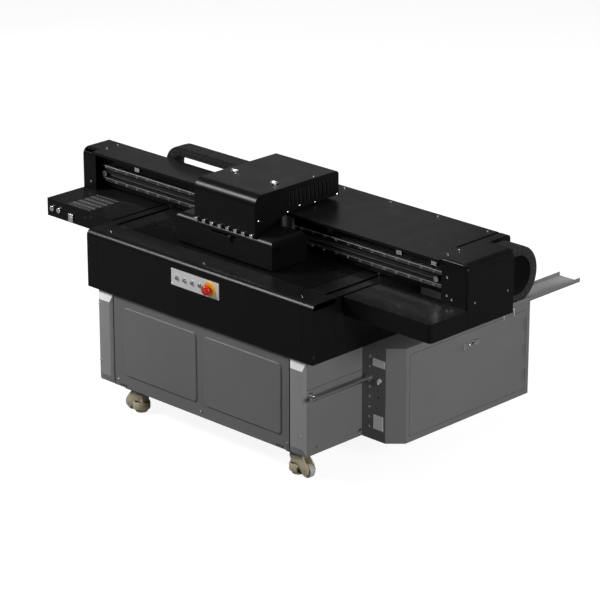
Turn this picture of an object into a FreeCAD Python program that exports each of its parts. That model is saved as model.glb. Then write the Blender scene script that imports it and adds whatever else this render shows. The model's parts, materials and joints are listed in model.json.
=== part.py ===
import FreeCAD, Part
import math
import os

os.makedirs("parts", exist_ok=True)
V = FreeCAD.Vector

# Flatbed UV printer, millimetres. Sizes are measured from the front left bottom
# corner of the table apron (X along the beam, Y to the back, Z up). save() moves
# every piece to the part's origin: the middle of the footprint, on the floor.

# table and apron
APRON_W, APRON_D, APRON_H = 1200.0, 1056.0, 230.0
SHEET = 3.0
APRON_ROUND = 24.0
CAP_W = 54.0
TABLE_X0, TABLE_X1, TABLE_Y0, TABLE_Y1 = 130.0, 1070.0, 118.0, 762.0
TABLE_T, TABLE_PROUD = 9.0, 1.0
SLOT_X, SLOT_W, SLOT_END = 46.0, 16.0, 905.0

# lower base and side cabinet
BASE_X0, BASE_X1, BASE_Y0, BASE_H = 43.0, 1157.0, 13.0, 375.0
TUBE = 40.0
COLUMN_W, COLUMN_PROUD = 85.0, 10.0
TRAY_LIP = 16.0
CAB_X, CAB_CHAMFER_X, CAB_Y0, CAB_CHAMFER_Y = 1273.0, 1327.0, 309.0, 362.0
DOOR_Y0, DOOR_Y1, DOOR_Z0, DOOR_Z1 = 380.0, 1034.0, -352.0, -28.0
HINGE_X, HINGE_Y, HINGE_R = 1329.4, 1033.5, 2.0

# casters: swivel axes, 100 mm high over all
CASTER_H, WHEEL_R, WHEEL_W, WHEEL_TRAIL = 100.0, 26.0, 24.0, 38.0
FOOT_R, FOOT_BACK, SCREW_HEAD_H = 24.0, 12.0, 2.5
CASTER_X = (215.0, 1085.0)
CASTER_Y = (58.0, 1000.0)

# gantry
GANTRY_X0, GANTRY_X1 = -398.0, 1629.0
GANTRY_TOP, HOUSING_Z0, HOUSING_Y0, END_Y0 = 395.0, 158.0, 148.0, 342.0
BEAM_X0, BEAM_X1, BEAM_Y0, BEAM_Y1, BEAM_Z0 = -325.0, 1503.0, 388.0, 481.0, 245.0
BEAM_WALL, LIP_Y0, LIP_H = 6.0, 327.0, 11.0
RAIL_Z = (276.0, 326.0)
RAIL_W, RAIL_D = 15.0, 15.0
COVER_SPLIT_X, COVER_X1, COVER_Y1 = 640.0, 1504.0, 718.0
BELT_Z, PULLEY_R = 301.0, 11.0

# carriage and print head
HEAD_Y0, HEAD_Y1 = 140.0, 325.0
HEAD_X0, HEAD_X1, HEAD_Z0, HEAD_Z1 = 347.0, 858.0, 238.0, 348.5
HOOD_X0, HOOD_X1, HOOD_Z0, HOOD_Z1, HOOD_Y1 = 452.0, 770.0, 349.0, 504.0, 585.0
HOOD_ROUND = 40.0

# energy chains
LINK = 35.0
X_LOOP_R, X_LOOP_X, X_LOOP_Z = 80.0, 5.0, 368.0
X_CHAIN_Y0, X_CHAIN_Y1 = 490.0, 555.0
Y_LOOP_R, Y_LOOP_Y, Y_LOOP_Z = 110.0, 650.0, 276.0
Y_CHAIN_X0, Y_CHAIN_X1 = 1510.0, 1596.0
CHAIN_WALL, CHAIN_GAP = 3.0, 1.0

# control panel on the apron front
PANEL_X0, PANEL_X1, PANEL_Z0, PANEL_Z1 = 471.0, 723.0, 127.0, 192.0
BUTTON_X = (502.0, 542.0, 582.0, 623.0)
BUTTON_Z, BUTTON_R = 159.5, 8.0
ESTOP_X, ESTOP_R, ESTOP_REACH = 674.0, 16.0, 31.0

FLOOR_Z = -(BASE_H + CASTER_H)
ORIGIN = V((GANTRY_X0 + GANTRY_X1 + SCREW_HEAD_H) / 2, (APRON_D - ESTOP_REACH) / 2, FLOOR_Z)
X, Y, Z = V(1, 0, 0), V(0, 1, 0), V(0, 0, 1)


def box(x0, x1, y0, y1, z0, z1):
    return Part.makeBox(x1 - x0, y1 - y0, z1 - z0, V(x0, y0, z0))


def rod(radius, start, axis, length):
    return Part.makeCylinder(radius, length, V(*start), axis)


def ring(outer, inner, start, axis, length):
    return rod(outer, start, axis, length).cut(rod(inner, start, axis, length))


def fillet(shape, radius, keep):
    """Round the edges whose two end points both satisfy keep(point)."""
    edges = [e for e in shape.Edges if len(e.Vertexes) == 2 and all(keep(v.Point) for v in e.Vertexes)]
    return shape.makeFillet(radius, edges)


def near(a, b):
    return abs(a - b) < 0.01


def save(name, *solids):
    shape = solids[0] if len(solids) == 1 else Part.makeCompound(list(solids))
    shape = shape.copy()
    shape.translate(V(-ORIGIN.x, -ORIGIN.y, -ORIGIN.z))
    shape.exportStep("parts/" + name + ".step")


def outline(points, axis_vector):
    """Face from (kind, ...) corner points, straight between them, then extruded."""
    wire = Part.makePolygon([V(*p) for p in points + points[:1]])
    return Part.Face(wire).extrude(axis_vector)


def screw_head(x, y, z, axis, radius=4.5, height=SCREW_HEAD_H):
    head = rod(radius, (x, y, z), axis, height)
    socket = rod(radius * 0.5, (x, y, z), axis, height)
    socket.translate(axis * (height * 0.5))
    return head.cut(socket)


# ---------------------------------------------------------------- lower base
def base_frame():
    inner_x0, inner_x1 = BASE_X0 + SHEET, BASE_X1 - SHEET
    inner_y0, inner_y1 = BASE_Y0 + SHEET, APRON_D - SHEET
    solids = []
    for x in (inner_x0, inner_x1 - TUBE):
        for y in (inner_y0, inner_y1 - TUBE):
            solids.append(box(x, x + TUBE, y, y + TUBE, -BASE_H + TUBE, -TUBE))
    for z in (-BASE_H, -TUBE):
        for y in (inner_y0, inner_y1 - TUBE):
            solids.append(box(inner_x0, inner_x1, y, y + TUBE, z, z + TUBE))
        for x in (inner_x0, inner_x1 - TUBE):
            solids.append(box(x, x + TUBE, inner_y0 + TUBE, inner_y1 - TUBE, z, z + TUBE))
    for x in (300.0, 900.0):
        solids.append(box(x - 20, x + 20, 60, 1000, 180, APRON_H + TABLE_PROUD - TABLE_T))
        for y in (60.0, 960.0):
            solids.append(box(x - 20, x + 20, y, y + TUBE, 0, 180))
    for x in (SLOT_X, APRON_W - SLOT_X):
        solids.append(box(x - 16, x + 16, 50, 1010, 0, 20))
    for x in CASTER_X:
        for y in CASTER_Y:
            solids.append(box(x - 38, x + 38, y - 38, y + 38, -BASE_H - 6, -BASE_H))
    save("base_frame", *solids)


def base_panels():
    z0, z1 = -BASE_H + 1, -1
    left = box(BASE_X0, BASE_X0 + SHEET, BASE_Y0 + SHEET, APRON_D, z0, z1)
    seam = -113.0
    right = [box(BASE_X1 - SHEET, BASE_X1, BASE_Y0 + SHEET, CAB_Y0 - 1, low, high)
             for low, high in ((z0, seam - 0.75), (seam + 0.75, z1))]
    back = box(BASE_X0 + SHEET, BASE_X1, APRON_D - SHEET, APRON_D, z0, z1)
    floor = box(BASE_X0 + 44, BASE_X1 - 44, BASE_Y0 + 44, APRON_D - 44, -BASE_H + 10, -BASE_H + 12)
    save("base_side_panels", left, back, floor, *right)
    front = box(BASE_X0 + COLUMN_W + 1, BASE_X1 - COLUMN_W - 1, BASE_Y0, BASE_Y0 + SHEET, z0, z1)
    for x0, x1 in ((188.0, 585.0), (627.0, 1030.0)):
        raised = box(x0, x1, BASE_Y0 - 5, BASE_Y0 + 1, -319, -42)
        corners = [e for e in raised.Edges if near(e.BoundBox.XLength, 0) and near(e.BoundBox.ZLength, 0)]
        raised = raised.makeFillet(16, corners)
        raised = fillet(raised, 3, lambda p: near(p.y, BASE_Y0 - 5))
        front = front.fuse(raised)
    save("base_panel_front", front.removeSplitter())


def corner_columns():
    solids = []
    for x0, x1 in ((BASE_X0, BASE_X0 + COLUMN_W), (BASE_X1 - COLUMN_W, BASE_X1)):
        post = box(x0, x1, BASE_Y0 - COLUMN_PROUD, BASE_Y0 + SHEET, -BASE_H + 1, -1)
        edges = [e for e in post.Edges if all(near(v.Y, BASE_Y0 - COLUMN_PROUD) for v in e.Vertexes)]
        solids.append(post.makeChamfer(COLUMN_PROUD - 0.2, edges))
    save("corner_columns", *solids)


def side_bar():
    x, y0, z = BASE_X1 + 33, 4, -136
    bar = rod(8, (x, y0, z), Y, CAB_Y0 - y0)
    flange = rod(16, (x, CAB_Y0 - 4, z), Y, 4)
    stem = rod(5, (BASE_X1, y0 + 30, z), X, 33)
    plate = rod(12, (BASE_X1, y0 + 30, z), X, 3)
    save("side_bar", bar.fuse([flange, stem, plate]).removeSplitter())


# ---------------------------------------------------------------- side cabinet
def cabinet_panels():
    x0, y1 = BASE_X1, APRON_D
    z0, z1 = -BASE_H, 0.0
    plan = [(x0, CAB_Y0), (CAB_X, CAB_Y0), (CAB_CHAMFER_X, CAB_CHAMFER_Y), (CAB_CHAMFER_X, y1), (x0, y1)]
    solid = outline([(x, y, z0) for x, y in plan], V(0, 0, z1 - z0))
    corner = outline([(CAB_X - 2, CAB_Y0 - 1, z0), (CAB_CHAMFER_X + 20, CAB_Y0 - 1, z0),
                      (CAB_CHAMFER_X + 20, CAB_CHAMFER_Y + 22, z0), (CAB_CHAMFER_X - SHEET, CAB_CHAMFER_Y + 1, z0)],
                     V(0, 0, z1 - z0))
    door_hole = box(CAB_CHAMFER_X - SHEET, CAB_CHAMFER_X + 1, DOOR_Y0, DOOR_Y1, DOOR_Z0, DOOR_Z1)
    inside = box(x0 + SHEET, CAB_CHAMFER_X - SHEET, CAB_Y0 + SHEET, y1 - SHEET, z0 + SHEET, z1 - SHEET)
    save("cabinet_panels", solid.cut(inside.cut(corner)).cut(door_hole))
    upper = box(1209, 1268, CAB_Y0 - 1.5, CAB_Y0, -82, -53)
    lower = box(1214, 1262, CAB_Y0 - 1.5, CAB_Y0, -330, -274)
    save("cabinet_plates", upper, lower)


def cabinet_door():
    gap = 1.5
    panel = box(CAB_CHAMFER_X - SHEET, CAB_CHAMFER_X, DOOR_Y0 + gap, DOOR_Y1 - gap, DOOR_Z0 + gap, DOOR_Z1 - gap)
    inner = 22.0
    flange = box(CAB_CHAMFER_X - 14, CAB_CHAMFER_X - SHEET, DOOR_Y0 + inner, DOOR_Y1 - inner,
                 DOOR_Z0 + inner, DOOR_Z1 - inner)
    hollow = box(CAB_CHAMFER_X - 15, CAB_CHAMFER_X - SHEET, DOOR_Y0 + inner + 2, DOOR_Y1 - inner - 2,
                 DOOR_Z0 + inner + 2, DOOR_Z1 - inner - 2)
    hinge = []
    for z in (-320.0, -215.0, -110.0):
        hinge.append(rod(HINGE_R, (HINGE_X, HINGE_Y, z), Z, 50))
        hinge.append(box(CAB_CHAMFER_X, CAB_CHAMFER_X + 1, HINGE_Y - 14, HINGE_Y - 1, z, z + 50))
    save("cabinet_door", panel.fuse(hinge + [flange.cut(hollow)]).removeSplitter())
    body = box(CAB_CHAMFER_X + 0.5, CAB_CHAMFER_X + 9, 670, 754, -92, -64)
    body = fillet(body, 3, lambda p: near(p.x, CAB_CHAMFER_X + 9))
    save("door_latch", body.fuse(rod(9, (CAB_CHAMFER_X + 0.5, 740, -78), X, 13)).removeSplitter())


def electronics():
    supply = box(1180, 1260, 420, 640, -370, -250)
    board = box(1163, 1167, 680, 960, -330, -80)
    blower = box(400, 640, 380, 620, -363, -200)
    save("power_supply", supply, board, blower)


# ---------------------------------------------------------------- apron and table
def apron_piece(x0, x1):
    outer = box(x0, x1, 0, TABLE_Y0 - 1, 0, APRON_H)
    outer = fillet(outer, APRON_ROUND, lambda p: near(p.y, 0) and near(p.z, APRON_H))
    inner = box(x0, x1, SHEET, TABLE_Y0, -1, APRON_H - SHEET)
    inner = fillet(inner, APRON_ROUND - SHEET, lambda p: near(p.y, SHEET) and near(p.z, APRON_H - SHEET))
    return outer.cut(inner)


def apron():
    seam = 1.0
    front = apron_piece(CAP_W + seam, APRON_W - CAP_W - seam)
    for x in BUTTON_X:
        front = front.cut(rod(BUTTON_R - 1, (x, -1, BUTTON_Z), Y, 6))
    front = front.cut(rod(11, (ESTOP_X, -1, BUTTON_Z), Y, 6))
    save("apron_front", front)
    cap_left = apron_piece(0, CAP_W)
    cap_left = cap_left.fuse(box(0, SHEET, SHEET, TABLE_Y0 - 1, 0, APRON_H - APRON_ROUND))
    cap_right = apron_piece(APRON_W - CAP_W, APRON_W)
    cap_right = cap_right.fuse(box(APRON_W - SHEET, APRON_W, SHEET, TABLE_Y0 - 1, 0, APRON_H - APRON_ROUND))
    top = APRON_H - SHEET - 0.5
    sides = [box(x, x + SHEET, TABLE_Y0, APRON_D, 0, top) for x in (0.0, APRON_W - SHEET)]
    back = box(SHEET, APRON_W - SHEET, APRON_D - SHEET, APRON_D, 0, top)
    save("apron_sides", cap_left, cap_right, back, *sides)


def deck_and_table():
    z0, z1, y0 = APRON_H - SHEET, APRON_H, TABLE_Y0
    half = SLOT_W / 2
    seam = 2.0
    strips = []
    for side in (0, 1):
        spans = ((0.0, SLOT_X - half, y0, APRON_D), (SLOT_X + half, TABLE_X0 - seam, y0, APRON_D),
                 (SLOT_X - half, SLOT_X + half, SLOT_END, APRON_D))
        for x0, x1, ya, yb in spans:
            low, high = (x0, x1) if side == 0 else (APRON_W - x1, APRON_W - x0)
            strips.append(box(low, high, ya, yb, z0, z1))
    strips.append(box(TABLE_X0 - seam, TABLE_X1 + seam, TABLE_Y1 + seam, APRON_D, z0, z1))
    save("deck_panel", *strips)
    top = APRON_H + TABLE_PROUD
    save("vacuum_table", box(TABLE_X0, TABLE_X1, TABLE_Y0 + 1, TABLE_Y1, top - TABLE_T, top))


# ---------------------------------------------------------------- Y drive inside the apron
SCREW_X, SCREW_Z, SCREW_R, RUN_GAP = 600.0, 95.0, 8.0, 0.06


def y_drive():
    rails = [box(x - 7.5, x + 7.5, 60, 1000, 20, 35) for x in (SLOT_X, APRON_W - SLOT_X)]
    save("y_rails", *rails)
    save("y_screw", rod(SCREW_R, (SCREW_X, 56, SCREW_Z), Y, 954))
    blocks = []
    for y in (62.0, 984.0):
        block = box(SCREW_X - 30, SCREW_X + 30, y, y + 14, 0, SCREW_Z + 25)
        blocks.append(block.cut(rod(SCREW_R + RUN_GAP, (SCREW_X, y, SCREW_Z), Y, 14)))
    motor = box(SCREW_X - 30, SCREW_X + 30, 1012, 1050, SCREW_Z - 30, SCREW_Z + 30)
    save("y_motor", motor, *blocks)


# ---------------------------------------------------------------- control panel
def control_panel():
    plate = box(PANEL_X0, PANEL_X1, -2, 0, PANEL_Z0, PANEL_Z1)
    for x in BUTTON_X:
        plate = plate.cut(rod(BUTTON_R - 1, (x, -3, BUTTON_Z), Y, 4))
    plate = plate.cut(rod(11, (ESTOP_X, -3, BUTTON_Z), Y, 4))
    save("control_plate", plate)
    for number, x in enumerate(BUTTON_X, 1):
        cap = rod(BUTTON_R - 1.6, (x, -9, BUTTON_Z), Y, 9)
        stem = rod(3, (x, 0, BUTTON_Z), Y, 14)
        save("button_%d" % number, cap.fuse(stem).removeSplitter())
    collar = ring(29, 9.0, (ESTOP_X, -8, BUTTON_Z), Y, 6)
    barrel = ring(10.6, 9.0, (ESTOP_X, -2, BUTTON_Z), Y, 40)
    save("estop_collar", collar.fuse(barrel).removeSplitter())
    head = rod(ESTOP_R + 4, (ESTOP_X, -ESTOP_REACH, BUTTON_Z), Y, 16)
    head = head.makeFillet(6, [e for e in head.Edges if near(e.BoundBox.YMax, -ESTOP_REACH)])
    stem = rod(8.9, (ESTOP_X, -ESTOP_REACH + 16, BUTTON_Z), Y, 40)
    save("estop_head", head.fuse(stem).removeSplitter())


# ---------------------------------------------------------------- energy chains
def half_ring(radius, centre, axis, width, side):
    """Half of a ring of links; the half on the side of the centre that side points to."""
    start = (centre.x, centre.y, centre.z)
    whole = ring(radius, radius - LINK, start, axis, width)
    keep = Part.makeBox(4 * radius, 4 * radius, 4 * radius, centre - V(2 * radius, 2 * radius, 2 * radius))
    keep.translate(side * (2 * radius))
    return whole.common(keep)


def tube_run(x0, x1, y0, y1, z0, z1, along):
    shape = box(x0, x1, y0, y1, z0, z1)
    w = CHAIN_WALL
    if along == "x":
        return shape.cut(box(x0 - 1, x1 + 1, y0 + w, y1 - w, z0 + w, z1 - w))
    return shape.cut(box(x0 + w, x1 - w, y0 - 1, y1 + 1, z0 + w, z1 - w))


X_UPPER, X_LOWER, X_CORE = 455.0, 930.0, (298.5, 608.5)
Y_UPPER, Y_LOWER, Y_CORE = 100.0, 290.0, (484.5, 582.0)


def x_chain():
    z_top, z_bottom = X_LOOP_Z + X_LOOP_R, X_LOOP_Z - X_LOOP_R
    y0, y1 = X_CHAIN_Y0, X_CHAIN_Y1
    loop = half_ring(X_LOOP_R, V(X_LOOP_X, y0, X_LOOP_Z), Y, y1 - y0, V(-1, 0, 0))
    upper = tube_run(X_LOOP_X, X_LOOP_X + X_UPPER, y0, y1, z_top - LINK, z_top, "x")
    lower = box(X_LOOP_X, X_LOOP_X + X_LOWER, y0, y1, z_bottom, z_bottom + LINK)
    save("x_chain", loop.fuse([upper, lower]).removeSplitter())
    inset = CHAIN_WALL + CHAIN_GAP
    save("x_chain_core", box(X_CORE[0], X_CORE[1], y0 + inset, y1 - inset, z_top - LINK + inset, z_top - inset))


def y_chain():
    z_top, z_bottom = Y_LOOP_Z + Y_LOOP_R, Y_LOOP_Z - Y_LOOP_R
    x0, x1 = Y_CHAIN_X0, Y_CHAIN_X1
    loop = half_ring(Y_LOOP_R, V(x0, Y_LOOP_Y, Y_LOOP_Z), X, x1 - x0, Y)
    upper = tube_run(x0, x1, Y_LOOP_Y - Y_UPPER, Y_LOOP_Y, z_top - LINK, z_top, "y")
    lower = box(x0, x1, Y_LOOP_Y - Y_LOWER, Y_LOOP_Y, z_bottom, z_bottom + LINK)
    save("y_chain", loop.fuse([upper, lower]).removeSplitter())
    inset = CHAIN_WALL + CHAIN_GAP
    save("y_chain_core", box(x0 + inset, x1 - inset, Y_CORE[0], Y_CORE[1], z_top - LINK + inset, z_top - inset))


def chain_tray():
    z0 = Y_LOOP_Z - Y_LOOP_R - 5
    x0, x1, y0, y1 = 1504.0, 1602.0, 556.0, 1006.0
    tray = box(x0, x1, y0, y1, z0, z0 + TRAY_LIP)
    tray = tray.cut(box(x0 + 2, x1 - 2, y0 - 1, y1 + 1, z0 + 2, z0 + TRAY_LIP + 1))
    arm = box(APRON_W, x1, 575, 635, 125, 155)
    arm = arm.cut(box(APRON_W + 4, x1 + 1, 579, 631, 124, 151))
    riser = box(x0 + 6, x1 - 6, 575, 635, 155, z0)
    save("chain_tray", tray, arm.fuse(riser).removeSplitter())


# ---------------------------------------------------------------- gantry
def beam():
    outer = box(BEAM_X0, BEAM_X1, BEAM_Y0, BEAM_Y1, BEAM_Z0, GANTRY_TOP - 4)
    w = BEAM_WALL
    inner = box(BEAM_X0 - 1, BEAM_X1 + 1, BEAM_Y0 + w, BEAM_Y1 - w, BEAM_Z0 + w, GANTRY_TOP - 4 - w)
    shape = outer.cut(inner)
    shape = shape.cut(rod(6, (1458, BEAM_Y0 - 1, BELT_Z), Y, w + 2))
    rib = box(BEAM_X0, BEAM_X1, BEAM_Y0 - 5, BEAM_Y0, BELT_Z - 6, BELT_Z + 6)
    rib = rib.cut(rod(9, (1458, BEAM_Y0 - 6, BELT_Z), Y, 7))
    save("beam", shape.fuse(rib).removeSplitter())


def x_rails():
    solids = []
    for z in RAIL_Z:
        rail = box(BEAM_X0 + 5, BEAM_X1 - 3, BEAM_Y0 - RAIL_D, BEAM_Y0, z - RAIL_W / 2, z + RAIL_W / 2)
        for side in (-1, 1):
            edge = z + side * RAIL_W / 2
            low, high = sorted((edge, edge - side * 2))
            rail = rail.cut(box(BEAM_X0, BEAM_X1, BEAM_Y0 - 9, BEAM_Y0 - 5, low, high))
        solids.append(rail)
    save("x_rails", *solids)


def x_belt_drive():
    y0, y1 = BEAM_Y0 - 23, BEAM_Y0 - 11
    ends = (-300.0, 1458.0)
    outer = box(ends[0], ends[1], y0, y1, BELT_Z - PULLEY_R - 1.2, BELT_Z + PULLEY_R + 1.2)
    inner = box(ends[0], ends[1], y0, y1, BELT_Z - PULLEY_R - 0.2, BELT_Z + PULLEY_R + 0.2)
    for x in ends:
        outer = outer.fuse(rod(PULLEY_R + 1.2, (x, y0, BELT_Z), Y, y1 - y0))
        inner = inner.fuse(rod(PULLEY_R + 0.2, (x, y0, BELT_Z), Y, y1 - y0))
    save("x_belt", outer.removeSplitter().cut(inner.removeSplitter()))
    drive = rod(PULLEY_R, (ends[1], y0, BELT_Z), Y, y1 - y0).fuse(rod(3, (ends[1], y1, BELT_Z), Y, 22))
    save("x_pulley_drive", drive.removeSplitter())
    idler = ring(PULLEY_R, 3.05, (ends[0], y0, BELT_Z), Y, y1 - y0)
    save("x_pulley_idler", idler)
    motor = box(ends[1] - 21, ends[1] + 21, 400, 466, BELT_Z - 21, BELT_Z + 21)
    pin = rod(3, (ends[0], y0 - 2, BELT_Z), Y, BEAM_Y0 - 5 - y0 + 2)
    save("x_motor", motor, pin)


def on_front(edge, front, bottom, inside):
    """True for an edge of the front face that isn't its bottom or inside edge."""
    bounds = edge.BoundBox
    flat = near(bounds.YMin, front) and near(bounds.YMax, front)
    return flat and not near(bounds.ZMax, bottom) and not near(bounds.XMax, inside)


def end_covers():
    left = box(GANTRY_X0, BEAM_X0 - 1, END_Y0, BEAM_Y1, APRON_H, GANTRY_TOP)
    left = fillet(left, 28, lambda p: near(p.y, END_Y0) and near(p.z, GANTRY_TOP))
    inner = box(GANTRY_X0 + 4, BEAM_X0, END_Y0 + 4, BEAM_Y1 - 4, APRON_H + 4, GANTRY_TOP - 4)
    save("end_cover_left", left.cut(inner))
    x0, x1, y1 = COVER_X1 + 1, GANTRY_X1, 593.0
    right = box(x0, x1, END_Y0, y1, HOUSING_Z0, GANTRY_TOP + 3)
    right = fillet(right, 28, lambda p: near(p.z, GANTRY_TOP + 3) and near(p.x, x1))
    right = right.makeFillet(9, [e for e in right.Edges if on_front(e, END_Y0, HOUSING_Z0, x0)])
    inner = box(x0 - 1, x1 - SHEET, END_Y0 + SHEET, y1 + 1, HOUSING_Z0 - 1, GANTRY_TOP - 2)
    inner = fillet(inner, 25, lambda p: near(p.z, GANTRY_TOP - 2) and near(p.x, x1 - SHEET))
    inner = inner.makeFillet(6, [e for e in inner.Edges if on_front(e, END_Y0 + SHEET, HOUSING_Z0 - 1, x0 - 1)])
    below = box(x0 - 1, x1 - SHEET, END_Y0 - 1, END_Y0 + 4, HOUSING_Z0 - 1, APRON_H)
    save("end_cover_right", right.cut(inner).cut(below))


def housings():
    z0, z1, y0, w = HOUSING_Z0, APRON_H, HOUSING_Y0, SHEET
    x0, x1 = GANTRY_X0, -12.0
    left = box(x0, x1, y0, BEAM_Y1, z0, z1 - 0.3)
    left = left.cut(box(x0 + w, x1 - w, y0 + w, BEAM_Y1 - w, z0 - 1, z1 - w))
    left = left.cut(box(-288, -156, y0 + 6, 312, z1 - w - 1, z1 + 1))
    tray = box(-290, -154, y0 + 4, 314, z1 - w - 2, z1 - w)
    save("housing_left", left, tray)
    x0, x1 = APRON_W + 12, GANTRY_X1
    right = box(x0, x1, y0, END_Y0, z0, z1)
    right = fillet(right, 14, lambda p: near(p.x, x1) and near(p.y, y0))
    inner = box(x0 + w, x1 - w, y0 + w, END_Y0 + 1, z0 - 1, z1 - w)
    inner = fillet(inner, 11, lambda p: near(p.x, x1 - w) and near(p.y, y0 + w))
    save("housing_right", right.cut(inner))
    latch = box(-271, -243, y0 - 6, y0 - 0.5, 162, 193)
    latch = fillet(latch, 2, lambda p: near(p.y, y0 - 6))
    save("housing_latch", latch.fuse(rod(3, (-271, y0 - 3.5, 193), X, 28)).removeSplitter())


def covers_and_trough():
    top, w = GANTRY_TOP, 4.0
    left = box(BEAM_X0, COVER_SPLIT_X - 0.5, LIP_Y0, BEAM_Y1, top - w, top)
    left = left.fuse(box(BEAM_X0, COVER_SPLIT_X - 0.5, LIP_Y0, LIP_Y0 + 3, top - LIP_H, top - w))
    x0, x1 = COVER_SPLIT_X + 0.5, COVER_X1
    right = box(x0, x1, BEAM_Y1, COVER_Y1, 276, top)
    right = fillet(right, 16, lambda p: near(p.y, COVER_Y1) and near(p.z, top))
    right = right.cut(box(x0 - 1, x1 - 3, BEAM_Y1 - 1, COVER_Y1 - 3, 275, top - w))
    right = right.fuse(box(x0, x1, LIP_Y0, BEAM_Y1, top - w, top))
    right = right.fuse(box(x0, x1, LIP_Y0, LIP_Y0 + 3, top - LIP_H, top - w))
    groove = 1455.0
    right = right.cut(box(groove, groove + 11, 474, 714, top - w - 1, top + 1))
    save("top_cover", left.removeSplitter(), right.removeSplitter())
    tx0, tx1, ty1, z0 = GANTRY_X0 + 4, 1260.0, 565.0, 278.0
    trough = box(tx0, tx1, BEAM_Y1, ty1, z0, z0 + 60)
    trough = trough.cut(box(tx0 - 1, tx1 + 1, BEAM_Y1 - 1, ty1 - 2, z0 + 2, z0 + 61))
    save("chain_trough", trough)


def gantry_legs():
    solids = []
    for x in (SLOT_X, APRON_W - SLOT_X):
        solids.append(box(x - 3, x + 3, 395, 475, 52, BEAM_Z0))
        block = box(x - 17, x + 17, 395, 475, 26, 52)
        solids[-1] = solids[-1].fuse(block.cut(box(x - 8, x + 8, 394, 476, 25, 35.5)))
    tie = box(SLOT_X + 3, APRON_W - SLOT_X - 3, 420, 450, SCREW_Z - 20, SCREW_Z + 20)
    tie = tie.cut(rod(SCREW_R + RUN_GAP, (SCREW_X, 419, SCREW_Z), Y, 32))
    save("gantry_legs", tie, *solids)


# ---------------------------------------------------------------- carriage and head
def carriage_plate():
    x0, x1 = HOOD_X0 + 4, HOOD_X1 - 4
    y_plate = BEAM_Y0 - 36
    shape = box(x0, x1, y_plate - 12, y_plate, 255, GANTRY_TOP - LIP_H - 4)
    for x in (x0 + 30, x1 - 90):
        for z in RAIL_Z:
            block = box(x, x + 60, y_plate, BEAM_Y0 - 6, z - 12.4, z + 12.4)
            block = block.cut(box(x - 1, x + 61, BEAM_Y0 - RAIL_D - 0.5, BEAM_Y0, z - 8, z + 8))
            shape = shape.fuse(block)
    for x in (x0 + 50, x1 - 50):
        shape = shape.fuse(box(x - 8, x + 8, y_plate - 20, y_plate - 12, 258, 378))
    save("carriage_plate", shape.removeSplitter())


def hood_section(inset, bottom):
    y0, y1, z1 = HEAD_Y0 + inset, HOOD_Y1 - inset, HOOD_Z1 - inset
    front_r, back_r = HOOD_ROUND - inset, 16.0 - inset
    s = math.sqrt(0.5)
    lower = [V(0, y, z) for y, z in bottom(y0, y1)]
    front = Part.Arc(V(0, y0, z1 - front_r), V(0, y0 + front_r * (1 - s), z1 - front_r * (1 - s)),
                     V(0, y0 + front_r, z1)).toShape()
    back = Part.Arc(V(0, y1 - back_r, z1), V(0, y1 - back_r * (1 - s), z1 - back_r * (1 - s)),
                    V(0, y1, z1 - back_r)).toShape()
    edges = [front, Part.makeLine(V(0, y0 + front_r, z1), V(0, y1 - back_r, z1)), back]
    path = [V(0, y1, z1 - back_r)] + lower + [V(0, y0, z1 - front_r)]
    edges += [Part.makeLine(a, b) for a, b in zip(path, path[1:])]
    return Part.Face(Part.Wire(edges))


def carriage_cover():
    def stepped(y0, y1):
        return [(y1, 409), (345, 405), (318, 402), (y0, HOOD_Z0)]

    def open_below(y0, y1):
        return [(y1, 300), (y0, 300)]

    outer = hood_section(0, stepped).extrude(V(HOOD_X1 - HOOD_X0, 0, 0))
    inner = hood_section(SHEET, open_below).extrude(V(HOOD_X1 - HOOD_X0 - 2 * SHEET, 0, 0))
    inner.translate(V(SHEET, 0, 0))
    shape = outer.cut(inner)
    shape.translate(V(HOOD_X0, 0, 0))
    z_top = X_LOOP_Z + X_LOOP_R
    shape = shape.cut(box(HOOD_X0 - 1, HOOD_X0 + SHEET + 1, X_CHAIN_Y0 - 6, X_CHAIN_Y1 + 6, 400, z_top + 7))
    vents, pitch = 11, 21.0
    for i in range(vents):
        y = 320 + i * pitch
        shape = shape.cut(box(HOOD_X1 - SHEET - 1, HOOD_X1 + 1, y, y + 8, 425, 480))
    save("carriage_cover", shape)


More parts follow.
